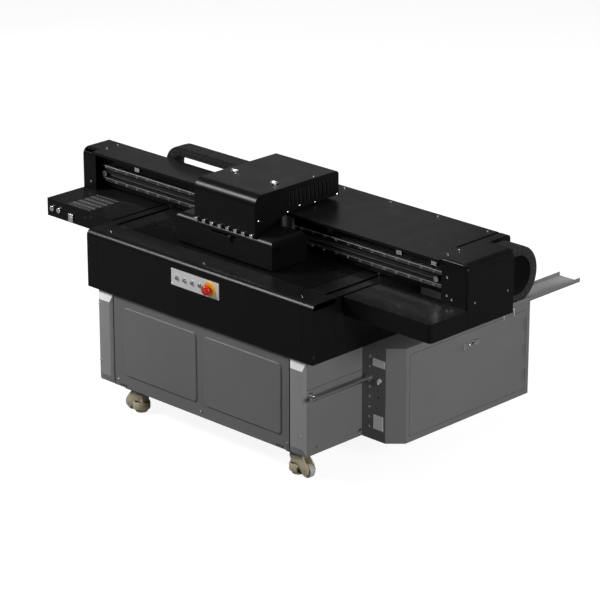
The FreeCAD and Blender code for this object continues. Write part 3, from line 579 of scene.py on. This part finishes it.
# ---------------------------------------------------------------- gantry
class UVPRINTER_OT_rail_bolts(bpy.types.Operator):
    """Set the bolts and their counterbores along both X rails, and the strip between the rails"""
    bl_idname = "uvprinter.rail_bolts"
    bl_label = "Rail bolts"

    def execute(self, context):
        pitch = sizes().rail_bolt_pitch
        low, high = RAILS
        face = low.y
        half_rail = 0.0075
        part = bmesh.new()
        add_lathe(part, [(0.0045, 0.0), (0.0045, 0.0004), (0.0038, 0.0005), (0.0036, 0.0001), (0, 0.0001)],
                  UP, (0, 0, 0), steps=16)
        count = int((high.x - low.x) / pitch)
        spots = [aim(-BACK, (low.x + pitch * (i + 0.35), face, z))
                 for i in range(count) for z in (low.z + half_rail, high.z - half_rail)]
        finish_piece(join(bmesh.new(), part, spots), "rail_bores", "gantry", "rail_steel", "panel_steel")
        part = bmesh.new()
        add_lathe(part, [(0, 0.0001), (0.0014, 0.0001), (0.0016, 0.0003), (0.0031, 0.0003), (0.0034, 0.0001)],
                  UP, (0, 0, 0), steps=12)
        finish_piece(join(bmesh.new(), part, spots), "rail_bolt_heads", "gantry", "rail_steel", "dark")
        middle = (low.z + high.z) / 2
        strip = add_block(bmesh.new(), (BEAM[0].x + 0.001, BEAM[0].y - 0.0004, middle - 0.0085),
                          (high.x - 0.058, BEAM[0].y + 0.0002, middle + 0.0085), bevel=0.0001, segments=1)
        finish_piece(strip, "beam_strip", "gantry", "alloy", "grating")
        # thin near-white strips along the rails' top edges: painted highlight for the light the ground faces
        # reflect
        edges = bmesh.new()
        for top in (low.z + 2 * half_rail, high.z):
            add_block(edges, (low.x + 0.001, face - 0.0001, top - 0.0030),
                      (high.x - 0.001, face + 0.0002, top - 0.0008))
        finish_piece(edges, "rail_edge_painted_highlights", "gantry", "rail_steel", "panel_steel")
        return {"FINISHED"}


class UVPRINTER_OT_left_housing_fittings(bpy.types.Operator):
    """Add the lock slots and the plugs on the left housing"""
    bl_idname = "uvprinter.left_housing_fittings"
    bl_label = "Left housing fittings"

    def execute(self, context):
        low, high = LEFT_BOX
        z = low.z + 0.035
        # the lock slots are thin blocks in the near-black finish: painted shade in place of the openings
        bm = bmesh.new()
        for x in (0.032, 0.071):
            add_block(bm, (low.x + x - 0.0012, low.y - 0.0084, z - 0.005),
                      (low.x + x + 0.0012, low.y - 0.0078, z + 0.005))
        finish_piece(bm, "lock_slots_painted_shade", "gantry", "screw_steel", "dark")
        bm = bmesh.new()
        for x, lift in ((0.221, 0.039), (0.257, 0.051)):
            add_cap(bm, -BACK, (low.x + x, low.y, low.z + lift), 0.0045, 0.0060, 0.0006)
        finish_piece(bm, "housing_plugs", "gantry", "powder_black", "dark")
        bm = bmesh.new()
        add_block(bm, (low.x + 0.129, low.y - 0.0068, low.z + 0.010),
                  (low.x + 0.153, low.y - 0.0058, low.z + 0.026), bevel=0.0004)
        finish_piece(bm, "latch_grip", "box_latch", "screw_steel")
        return {"FINISHED"}


# ---------------------------------------------------------------- carriage
class UVPRINTER_OT_hood_trim(bpy.types.Operator):
    """Add the louvre blades, the screws and the ink line clips of the hood"""
    bl_idname = "uvprinter.hood_trim"
    bl_label = "Hood trim"

    def execute(self, context):
        bm = bmesh.new()
        first, pitch, blades = 320, 21, 11
        for y in range(first, first + pitch * blades, pitch):
            add_block(bm, at(769.5, y + 8, 424), at(773.2, y + 13, 481), bevel=0.0015, segments=3)
        finish_piece(bm, "hood_louvres", "head", "powder_black")
        # a near-black sheet behind the louvre blades: painted shade inside the hood
        painted_shade_liner = add_block(bmesh.new(), at(767.1, 319.5, 424), at(767.5, 538.5, 481), bevel=0.0002, segments=1)
        finish_piece(painted_shade_liner, "louvre_painted_shade_sheet", "head", "powder_black", "dark")

        bm = bmesh.new()
        for y, z in ((159, 405), (311, 405), (375, 415), (457, 409), (575, 412)):
            add_screw(bm, RIGHT, at(770, y, z))
        add_screw(bm, UP, at(756, 463, 504))
        finish_piece(bm, "hood_screws", "head", "screw_steel")

        count = sizes().clip_count
        first, last = 460, 752
        bm = bmesh.new()
        for i in range(count):
            x = first + (last - first) * i / (count - 1)
            add_block(bm, at(x - 8, 136, 344), at(x + 4, 140, 354), bevel=0.0012)
            add_lathe(bm, [(0, 0.007), (0.0035, 0.007), (0.0050, 0.0055), (0.0050, 0.001), (0.0040, 0.0),
                           (0, 0)], -BACK, at(x + 8, 140, 352), steps=12)
            add_lathe(bm, [(0, 0.004), (0.0022, 0.004), (0.0030, 0.003), (0.0030, 0.0), (0, 0)],
                      -BACK, at(x - 3, 138, 350), steps=10)
        finish_piece(bm, "ink_clips", "head", "screw_steel")
        return {"FINISHED"}


def add_screw(bm, axis, centre, radius=0.0042, height=0.0022):
    """Button head screw with a hexagon socket."""
    profile = [(radius, 0), (radius, height * 0.45), (radius * 0.8, height * 0.85), (radius * 0.52, height)]
    add_lathe(bm, profile, axis, centre, steps=18)
    socket = [(radius * 0.52, height), (radius * 0.45, height * 0.35), (0, height * 0.3)]
    return add_lathe(bm, socket, axis, centre, steps=6)


class UVPRINTER_OT_lid_knobs(bpy.types.Operator):
    """Build the two turned knobs on top of the hood"""
    bl_idname = "uvprinter.lid_knobs"
    bl_label = "Lid knobs"

    def execute(self, context):
        for node, body in (("lid_knob_left", "knob_left"), ("lid_knob_right", "knob_right")):
            low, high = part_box(node)
            centre = Vector(((low.x + high.x) / 2, (low.y + high.y) / 2, low.z))
            radius, height = (high.x - low.x) / 2, high.z - low.z
            profile = [(0, 0), (radius * 0.94, 0), (radius, height * 0.12), (radius, height * 0.30),
                       (radius * 0.92, height * 0.38), (radius * 0.55, height * 0.44),
                       (radius * 0.50, height * 0.52), (0, height * 0.55)]
            bm = turned(profile, UP, centre, steps=40)
            add_block(bm, centre + Vector((-radius * 0.78, -0.0032, height * 0.40)),
                      centre + Vector((radius * 0.78, 0.0032, height)), bevel=0.0016, segments=3)
            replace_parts(finish_piece(bm, node + "_turned", body, "screw_steel"), node)
        return {"FINISHED"}


# ---------------------------------------------------------------- control panel
class UVPRINTER_OT_controls(bpy.types.Operator):
    """Build the push buttons, their bezels and the emergency stop"""
    bl_idname = "uvprinter.controls"
    bl_label = "Controls"

    def execute(self, context):
        face = PLATE[0].y
        bezels = bmesh.new()
        for number in range(1, 5):
            node = "button_%d" % number
            low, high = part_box(node)
            centre = Vector(((low.x + high.x) / 2, face, (low.z + high.z) / 2))
            radius, reach = (high.x - low.x) / 2, face - low.y
            add_lathe(bezels, [(radius + 0.0030, 0), (radius + 0.0028, 0.0014), (radius + 0.0018, 0.0020),
                               (radius + 0.0006, 0.0020), (radius + 0.0005, 0.0)], -BACK, centre, steps=32)
            profile = [(0, -0.012), (0.0028, -0.012), (0.0028, -0.001), (radius, -0.001),
                       (radius, reach - 0.0016), (radius * 0.9, reach - 0.0004), (radius * 0.62, reach),
                       (radius * 0.56, reach - 0.0009), (0, reach - 0.0009)]
            bm = turned(profile, -BACK, centre)
            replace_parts(finish_piece(bm, node + "_cap", node, "button_plastic"), node)
        finish_piece(bezels, "button_bezels", "base", "panel_steel", "screw_steel")

        low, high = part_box("estop_head")
        radius = (high.x - low.x) / 2
        centre = Vector(((low.x + high.x) / 2, low.y + 0.016, (low.z + high.z) / 2))
        profile = [(0, -0.040), (0.0088, -0.040), (0.0088, 0), (radius * 0.72, 0.0), (radius * 0.92, 0.0010),
                   (radius, 0.0040), (radius, 0.0075), (radius * 0.93, 0.0112), (radius * 0.76, 0.0141),
                   (radius * 0.52, 0.0156), (radius * 0.25, 0.016), (0, 0.016)]
        bm = turned(profile, -BACK, centre, steps=48)
        ribs = 18
        for i in range(ribs):
            angle = math.tau * i / ribs
            way = Vector((math.cos(angle), 0, math.sin(angle)))
            rib = centre + way * (radius - 0.0002) + Vector((0, -0.0058, 0))
            add_lathe(bm, both_ends([(0, -0.0032), (0.0007, -0.0026)]), BACK, rib, steps=6)
        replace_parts(finish_piece(bm, "stop_button", "estop", "red_plastic"), "estop_head")

        low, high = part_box("estop_collar")
        radius = (high.x - low.x) / 2
        centre = Vector(((low.x + high.x) / 2, face, (low.z + high.z) / 2))
        reach = face - low.y
        profile = [(0.0106, -0.030), (0.0106, 0), (radius, 0.0), (radius, reach * 0.55),
                   (radius * 0.94, reach * 0.92), (radius * 0.86, reach), (0.0125, reach),
                   (0.0095, reach * 0.7), (0.0092, -0.030), (0.0106, -0.030)]
        bm = turned(profile, -BACK, centre, steps=48)
        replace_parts(finish_piece(bm, "stop_collar", "base", "yellow_plastic"), "estop_collar")

        bm = bmesh.new()
        for x in (PLATE[0].x + 0.006, PLATE[1].x - 0.006):
            for z in (PLATE[0].z + 0.006, PLATE[1].z - 0.006):
                add_screw(bm, -BACK, (x, face, z), radius=0.0022, height=0.0012)
        finish_piece(bm, "plate_screws", "base", "screw_steel")
        return {"FINISHED"}


# ---------------------------------------------------------------- casters
class UVPRINTER_OT_casters(bpy.types.Operator):
    """Build the levelling casters: fork, thumb wheel, pad and wheel"""
    bl_idname = "uvprinter.casters"
    bl_label = "Casters"

    def execute(self, context):
        for spot, x, y, turn in (("front_left", 215, 58, -90), ("front_right", 1085, 58, 90),
                                 ("back_left", 215, 1000, 0), ("back_right", 1085, 1000, 0)):
            ground = at(x, y, 0)
            place = Matrix.Translation((ground.x, ground.y, 0)) @ Matrix.Rotation(math.radians(turn), 4, "Z")
            self.build(spot, place)
        return {"FINISHED"}

    def build(self, spot, place):
        body = "swivel_" + spot
        wheel_low, wheel_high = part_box("wheel_" + spot)
        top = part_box("caster_" + spot)[1].z
        radius = (wheel_high.z - wheel_low.z) / 2
        trail, half, pad_back = 0.038, 0.012, 0.012
        plate = top - 0.0105
        axle = Vector((0, -trail, radius + wheel_low.z))
        pad = Vector((0, pad_back, 0))

        bm = bmesh.new()
        add_lathe(bm, [(0, top), (0.0235, top), (0.0245, top - 0.0015), (0.0245, top - 0.009),
                       (0.0225, plate), (0, plate)], UP, (0, 0, 0), steps=40)
        cheek = bmesh.new()
        outline = [(-0.018, 0.020), (-0.020, 0.034), (-0.014, 0.050), (0.004, top - 0.022), (0.014, plate),
                   (0.058, plate), (0.058, 0.052), (0.036, 0.047), (0.018, 0.022), (0.006, 0.013),
                   (-0.008, 0.013)]
        ring = [cheek.verts.new((0, axle.y + y, z)) for y, z in outline]
        face = cheek.faces.new(ring)
        grown = bmesh.ops.extrude_face_region(cheek, geom=[face])["geom"]
        far = [item for item in grown if isinstance(item, bmesh.types.BMVert)]
        bmesh.ops.translate(cheek, vec=(0.005, 0, 0), verts=far)
        bmesh.ops.recalc_face_normals(cheek, faces=cheek.faces)
        bevel_edges(cheek, cheek.edges[:], 0.0013, 2)
        join(bm, cheek, [Matrix.Translation((side * (half + 0.0055) - 0.0025, 0, 0)) for side in (-1, 1)])
        add_block(bm, (-half - 0.009, axle.y + 0.028, top - 0.030), (half + 0.009, axle.y + 0.078, plate),
                  bevel=0.005, segments=3)
        add_block(bm, (-half - 0.006, axle.y + 0.034, 0.044), (half + 0.006, axle.y + 0.076, top - 0.026),
                  bevel=0.004, segments=3)
        guard = bmesh.new()
        section = [(0.0290, 0.018), (0.0325, 0.016), (0.0345, 0.020), (0.0345, 0.040), (0.0325, 0.046),
                   (0.0290, 0.046)]
        guard.faces.new([guard.verts.new((across, 0, z)) for across, z in section])
        start, sweep = math.radians(-32), math.radians(244)
        bmesh.ops.rotate(guard, verts=guard.verts, cent=(0, 0, 0), matrix=Matrix.Rotation(start, 3, "Z"))
        bmesh.ops.spin(guard, geom=guard.verts[:] + guard.edges[:] + guard.faces[:], cent=(0, 0, 0), axis=UP,
                       angle=sweep, steps=26)
        bmesh.ops.recalc_face_normals(guard, faces=guard.faces)
        join(bm, guard, [Matrix.Translation(pad)])
        bm.transform(place)
        finish_piece(bm, "caster_fork_" + spot, body, "ivory_plastic")

        bm = bmesh.new()
        add_lathe(bm, [(0, 0.0042), (0.0225, 0.0042), (0.0240, 0.0055), (0.0240, 0.0100), (0.0200, 0.0120),
                       (0.0080, 0.0135), (0.0060, 0.0150), (0.0060, 0.0300), (0.0228, 0.0300),
                       (0.0240, 0.0312), (0.0240, 0.0378), (0.0228, 0.0390), (0.0060, 0.0395),
                       (0.0060, top - 0.020), (0, top - 0.020)], UP, pad, steps=36)
        grips = 24
        for i in range(grips):
            angle = math.tau * i / grips
            grip = pad + Vector((math.cos(angle), math.sin(angle), 0)) * 0.0240 + UP * 0.0345
            add_lathe(bm, both_ends([(0, -0.0034), (0.0007, -0.0028)]), UP, grip, steps=6)
        bm.transform(place)
        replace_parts(finish_piece(bm, "caster_pad_" + spot, body, "ivory_plastic"), "caster_" + spot)

        reach = half + 0.0082
        end = [(0, -reach), (0.0048, -reach), (0.0056, -reach + 0.0012), (0.0056, -reach + 0.0028),
               (0.0039, -reach + 0.0030)]
        bm = turned(both_ends(end), RIGHT, axle, steps=24)
        bm.transform(place)
        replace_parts(finish_piece(bm, "caster_axle_" + spot, body, "screw_steel"), "caster_" + spot)

        bore = 0.00406
        end = [(bore, -half), (0.0085, -half), (0.0095, -half + 0.0015), (0.0180, -half + 0.0030),
               (0.0190, -half + 0.0012), (radius - 0.003, -half), (radius - 0.0008, -half + 0.0012),
               (radius, -half + 0.0035)]
        bm = turned(both_ends(end) + end[:1], RIGHT, axle, steps=48)
        bm.transform(place)
        wheel = finish_piece(bm, "caster_wheel_" + spot, "roller_" + spot, "wheel_nylon")
        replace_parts(wheel, "wheel_" + spot)


# ---------------------------------------------------------------- base, cabinet and back
class UVPRINTER_OT_base_fittings(bpy.types.Operator):
    """Add the deck vents, the plugs and the slots of the base and apron"""
    bl_idname = "uvprinter.base_fittings"
    bl_label = "Base fittings"

    def execute(self, context):
        top = APRON[1].z
        bm = bmesh.new()
        pitch = 0.011
        vent = [(0.0038, 0), (0.0036, 0.0006), (0.0026, 0.0007), (0.0022, 0.0002), (0, 0.0002)]
        for column in range(3):
            for row in range(2):
                spot = (CORNER.x + 0.078 + column * pitch, CORNER.y + 0.104 + row * pitch, top)
                add_lathe(bm, vent, UP, spot, steps=14)
        finish_piece(bm, "deck_vents", "base", "screw_steel", "seam")
        bm = bmesh.new()
        for centre in ((SIDES[1].x, CORNER.y + 0.006, CORNER.z + 0.030),
                       (BASE[1].x, BASE[0].y + 0.050, BASE[0].z + 0.024),
                       (BASE[1].x, BASE[0].y + 0.282, BASE[0].z + 0.024)):
            add_cap(bm, RIGHT, centre, 0.0048, 0.0060, 0.0005)
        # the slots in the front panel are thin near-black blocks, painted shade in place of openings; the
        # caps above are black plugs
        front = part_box("base_panel_front")
        for x in (0.035, 0.049, 0.063):
            for start, way in ((front[0].x, 1), (front[1].x, -1)):
                spot = start + way * x
                face = front[0].y + 0.005
                add_block(bm, (spot - 0.004, face - 0.0005, front[0].z + 0.006),
                          (spot + 0.004, face + 0.0005, front[0].z + 0.012))
        finish_piece(bm, "base_plugs_and_slot_shade", "base", "paint_grey", "dark")

        low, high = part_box("chain_tray")
        bm = bmesh.new()
        inner_lip = high.x - 0.096
        for x, y, drop in ((high.x, low.y + 0.001, 0.016), (inner_lip, at(0, 557, 0).y, 0.0135)):
            add_block(bm, (x, y, high.z - drop), (x + 0.0006, high.y, high.z + 0.0004), bevel=0.0002)
        # the lips take the darker cabinet grey instead of the tray's light paint: painted shade on the lips
        finish_piece(bm, "tray_lips_painted_shade", "base", "paint_grey")
        return {"FINISHED"}


class UVPRINTER_OT_corner_posts(bpy.types.Operator):
    """Build the two pressed corner posts at the front of the base"""
    bl_idname = "uvprinter.corner_posts"
    bl_label = "Corner posts"

    def execute(self, context):
        low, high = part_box("corner_columns")
        width = 0.085
        side_slant, foot_slant, head_slant = 0.013, 0.030, -0.038
        bm = bmesh.new()
        for x0, x1 in ((low.x, low.x + width), (high.x - width, high.x)):
            post = add_block(bmesh.new(), (x0, low.y, low.z), (x1, high.y, high.z))
            for vert in post.verts:
                if vert.co.y < (low.y + high.y) / 2:
                    vert.co.x += side_slant if vert.co.x < (x0 + x1) / 2 else -side_slant
                    vert.co.z += foot_slant if vert.co.z < (low.z + high.z) / 2 else head_slant
            bevel_edges(post, post.edges[:], 0.0012, 3)
            join(bm, post, [Matrix.Identity(4)])
        posts = finish_piece(bm, "corner_posts", "base", "paint_grey", "post_paint")
        # the upper slanted facets get the white finish: a painted highlight for the light they catch
        second_finish(posts, "white_sheet", lambda face: 0.15 < face.normal.z < 0.6 and face.normal.y < -0.7)
        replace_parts(posts, "corner_columns")
        bm = bmesh.new()
        for x in (low.x + width + 0.0005, high.x - width - 0.0005):
            add_block(bm, (x - 0.0015, low.y + 0.0095, low.z), (x + 0.0015, low.y + 0.0102, high.z),
                      bevel=0.0002)
        finish_piece(bm, "post_seams", "base", "paint_grey", "seam")
        return {"FINISHED"}


class UVPRINTER_OT_cabinet_fittings(bpy.types.Operator):
    """Add the cable gland, the plug and the door latch face of the side cabinet"""
    bl_idname = "uvprinter.cabinet_fittings"
    bl_label = "Cabinet fittings"

    def execute(self, context):
        face = CABINET[0].y
        gland = Vector((CABINET[0].x + 0.086, face, CABINET[1].z - 0.134))
        bm = turned([(0, 0.013), (0.0045, 0.013), (0.006, 0.011), (0.006, 0.006), (0.0085, 0.005),
                     (0.0090, 0.0035), (0.0090, 0.0)], -BACK, gland, steps=24)
        add_lathe(bm, [(0.0035, 0), (0.0045, 0.001), (0.0045, 0.009), (0.0035, 0.010), (0, 0.010)], -UP,
                  gland + Vector((0, -0.009, -0.002)), steps=20)
        finish_piece(bm, "cable_gland", "base", "paint_light")
        bm = add_cap(bmesh.new(), -BACK, (CABINET[0].x + 0.081, face, CABINET[1].z - 0.202),
                     0.0035, 0.0045, 0.0008, steps=16)
        finish_piece(bm, "cabinet_plug", "base", "paint_grey", "dark")

        low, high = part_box("door_latch")
        grip = Vector((high.x, (low.y + high.y) / 2, (low.z + high.z) / 2))
        bm = add_cap(bmesh.new(), RIGHT, grip + Vector((0, -0.014, 0)), 0.0052, 0.0060, 0.0006, steps=24)
        add_block(bm, grip + Vector((-0.0002, 0.002, -0.006)), grip + Vector((0.0007, 0.022, 0.006)),
                  bevel=0.0003)
        finish_piece(bm, "latch_grip_face", "latch", "screw_steel")
        return {"FINISHED"}


class UVPRINTER_OT_rear_fittings(bpy.types.Operator):
    """Add the vent grille, the fan guard and the power inlet at the back"""
    bl_idname = "uvprinter.rear_fittings"
    bl_label = "Rear fittings"

    def execute(self, context):
        face = BASE[1].y
        middle = (BASE[0] + BASE[1]) / 2
        # the vent slots are thin near-black blocks: painted shade in place of openings
        bm = bmesh.new()
        for column in range(2):
            for row in range(10):
                spot = Vector((middle.x - 0.38 + column * 0.15, face, BASE[0].z + 0.080 + row * 0.018))
                add_block(bm, spot - Vector((0, 0.0010, 0)), spot + Vector((0.12, 0.0001, 0.007)),
                          bevel=0.00008, segments=1)
        finish_piece(bm, "rear_vents_painted_shade", "base", "paint_grey", "dark")

        # a near-black disc behind the guard: painted shade of the fan opening
        centre = Vector((middle.x + 0.12, face - 0.0002, BASE[0].z + 0.17))
        bm = add_cap(bmesh.new(), BACK, centre, 0.056, 0.0565, 0.0003, steps=48)
        finish_piece(bm, "fan_opening_painted_shade", "base", "powder_black", "dark")
        bm = bmesh.new()
        for ring in range(1, 6):
            radius = 0.011 * ring
            wire = [(radius - 0.0011, 0.0002), (radius, 0.0005), (radius + 0.0011, 0.0002)]
            add_lathe(bm, wire, BACK, centre, steps=48)
        for i in range(4):
            angle = math.tau * (i + 0.5) / 4
            way = Vector((math.cos(angle), 0, math.sin(angle)))
            spoke = bmesh.new()
            add_block(spoke, (0.010, -0.0009, -0.0002), (0.062, 0.0009, 0.0005), bevel=0.0002, segments=1)
            turn = Matrix((way, BACK.cross(way), BACK)).transposed().to_4x4()
            join(bm, spoke, [Matrix.Translation(centre) @ turn])
            add_cap(bm, BACK, centre + way * 0.064, 0.0032, 0.0040, 0.0005, steps=16)
        finish_piece(bm, "fan_guard", "base", "screw_steel")

        inlet = Vector((middle.x + 0.36, face, BASE[0].z + 0.12))
        bm = bmesh.new()
        add_block(bm, inlet - Vector((0.030, 0.001, 0.022)), inlet + Vector((0.030, 0.0002, 0.022)),
                  bevel=0.0001)
        finish_piece(bm, "power_inlet_plate", "base", "panel_steel", "button_plastic")
        # the socket and switch openings are thin near-black blocks: painted shade in the recesses
        bm = bmesh.new()
        add_block(bm, inlet - Vector((0.022, 0, 0.014)), inlet + Vector((0.004, 0.0003, 0.014)), bevel=0.0001)
        add_block(bm, inlet + Vector((0.009, 0, -0.012)), inlet + Vector((0.023, 0.0003, 0.012)),
                  bevel=0.0001)
        finish_piece(bm, "power_inlet_painted_shade", "base", "chain_plastic", "dark")
        return {"FINISHED"}


# ---------------------------------------------------------------- finishes on the frame
class UVPRINTER_OT_finishes(bpy.types.Operator):
    """Make the finishes and give every part of the frame the finish of its slot"""
    bl_idname = "uvprinter.finishes"
    bl_label = "Finishes"

    def execute(self, context):
        make_finishes()
        slots = {part["node"]: part["material_slot"] for part in frame["record"]["subparts"]}
        for name, node in frame["nodes"].items():
            node.data.materials.clear()
            node.data.materials.append(FINISH[slots[name]])
        return {"FINISHED"}


# ---------------------------------------------------------------- stage
def add_softbox(name, place, target, width, height, power):
    light = bpy.data.lights.new(name, "AREA")
    light.shape = "RECTANGLE"
    light.size, light.size_y = width, height
    light.energy = power
    box = bpy.data.objects.new(name, light)
    box.location = place
    box.rotation_euler = (Vector(target) - Vector(place)).to_track_quat("-Z", "Y").to_euler()
    bpy.context.scene.collection.objects.link(box)


class UVPRINTER_OT_stage(bpy.types.Operator):
    """Make the camera, the floor and the studio light"""
    bl_idname = "uvprinter.stage"
    bl_label = "Stage"

    def execute(self, context):
        scene = context.scene
        camera = bpy.data.cameras.new("camera")
        camera.lens = 173.99
        camera.sensor_width = 36.0
        camera.clip_end = 100.0
        viewer = bpy.data.objects.new("camera", camera)
        viewer.location = (7.2799, -7.4419, 4.3025)
        aim_point = Vector((0.8610, -0.8610, 0.8916))
        viewer.rotation_euler = (aim_point - viewer.location).to_track_quat("-Z", "Y").to_euler()
        scene.collection.objects.link(viewer)
        scene.camera = viewer

        bm = bmesh.new()
        bmesh.ops.create_grid(bm, x_segments=1, y_segments=1, size=30.0)
        mesh = bpy.data.meshes.new("floor")
        bm.to_mesh(mesh)
        bm.free()
        floor = bpy.data.objects.new("floor", mesh)
        floor_paint, tree, shader = surface("floor_paint", (0.20, 0.20, 0.20), specular=0.1)
        shader.inputs["Roughness"].default_value = 0.9
        speck = add_group(tree, grain_group(), Scale=2.0, Low=0.0, High=1.0)
        two_tone(tree, shader, speck.outputs["Value"], (0.20, 0.20, 0.20), (0.21, 0.21, 0.21))
        seen = tree.nodes.new("ShaderNodeLightPath")
        glow = add_math(tree, "MULTIPLY", seen.outputs["Is Camera Ray"], FLOOR_GLOW)
        shader.inputs["Emission Color"].default_value = (1, 1, 1, 1)
        tree.links.new(glow, shader.inputs["Emission Strength"])
        mesh.materials.append(floor_paint)
        scene.collection.objects.link(floor)

        world = bpy.data.worlds.new("studio")
        world.use_nodes = True
        set_inputs(world.node_tree.nodes["Background"], {"Color": (1, 1, 1, 1), "Strength": 0.05})
        scene.world = world
        scene.view_settings.view_transform = "Standard"

        middle, base = (0, 0, 0.6), (0, 0, 0.5)
        add_softbox("left_softbox", (-3.6, -3.6, 4.2), middle, 2.4, 1.6, 355.0)
        add_softbox("rear_softbox", (-3.8, 3.8, 2.9), middle, 2.3, 1.4, 4.2)
        add_softbox("right_softbox", (5.8, -1.0, 2.4), middle, 2.0, 1.8, 220.0)
        add_softbox("overhead_softbox", (0.3, 0.6, 4.6), middle, 3.0, 2.0, 30.0)
        add_softbox("back_fill_softbox", (1.0, 5.2, 1.1), base, 3.0, 1.4, 170.0)
        add_softbox("left_fill_softbox", (-5.4, 1.0, 1.0), base, 2.0, 1.2, 60.0)
        return {"FINISHED"}


# ---------------------------------------------------------------- panel and registration
PIECES = (
    UVPRINTER_OT_energy_chains, UVPRINTER_OT_vacuum_bed, UVPRINTER_OT_service_grating,
    UVPRINTER_OT_rail_bolts, UVPRINTER_OT_left_housing_fittings, UVPRINTER_OT_hood_trim,
    UVPRINTER_OT_lid_knobs, UVPRINTER_OT_controls, UVPRINTER_OT_casters,
    UVPRINTER_OT_base_fittings, UVPRINTER_OT_corner_posts, UVPRINTER_OT_cabinet_fittings,
    UVPRINTER_OT_rear_fittings,
)


class UVPRINTER_PT_panel(bpy.types.Panel):
    """Sizes, colours and building steps of the printer"""
    bl_idname = "UVPRINTER_PT_panel"
    bl_label = "UV printer"
    bl_space_type = "VIEW_3D"
    bl_region_type = "UI"
    bl_category = "UV printer"

    def draw(self, context):
        layout = self.layout
        for group in (sizes(), colours()):
            column = layout.column(align=True)
            for label in group.bl_rna.properties.keys():
                if label not in ("rna_type", "name"):
                    column.prop(group, label)
        layout.operator(UVPRINTER_OT_stage.bl_idname)
        layout.operator(UVPRINTER_OT_finishes.bl_idname)
        for piece in PIECES:
            layout.operator(piece.bl_idname)


CLASSES = (PrinterSizes, PrinterColours, UVPRINTER_OT_stage, UVPRINTER_OT_finishes, *PIECES,
           UVPRINTER_PT_panel)


def register():
    for cls in CLASSES:
        bpy.utils.register_class(cls)
    bpy.types.Scene.uv_printer_sizes = PointerProperty(type=PrinterSizes)
    bpy.types.Scene.uv_printer_colours = PointerProperty(type=PrinterColours)


def unregister():
    del bpy.types.Scene.uv_printer_colours
    del bpy.types.Scene.uv_printer_sizes
    for cls in reversed(CLASSES):
        bpy.utils.unregister_class(cls)


def main():
    register()
    bpy.ops.uvprinter.stage()
    bpy.ops.uvprinter.finishes()
    for piece in PIECES:
        group, action = piece.bl_idname.split(".")
        getattr(getattr(bpy.ops, group), action)()


if __name__ == "__main__":
    main()
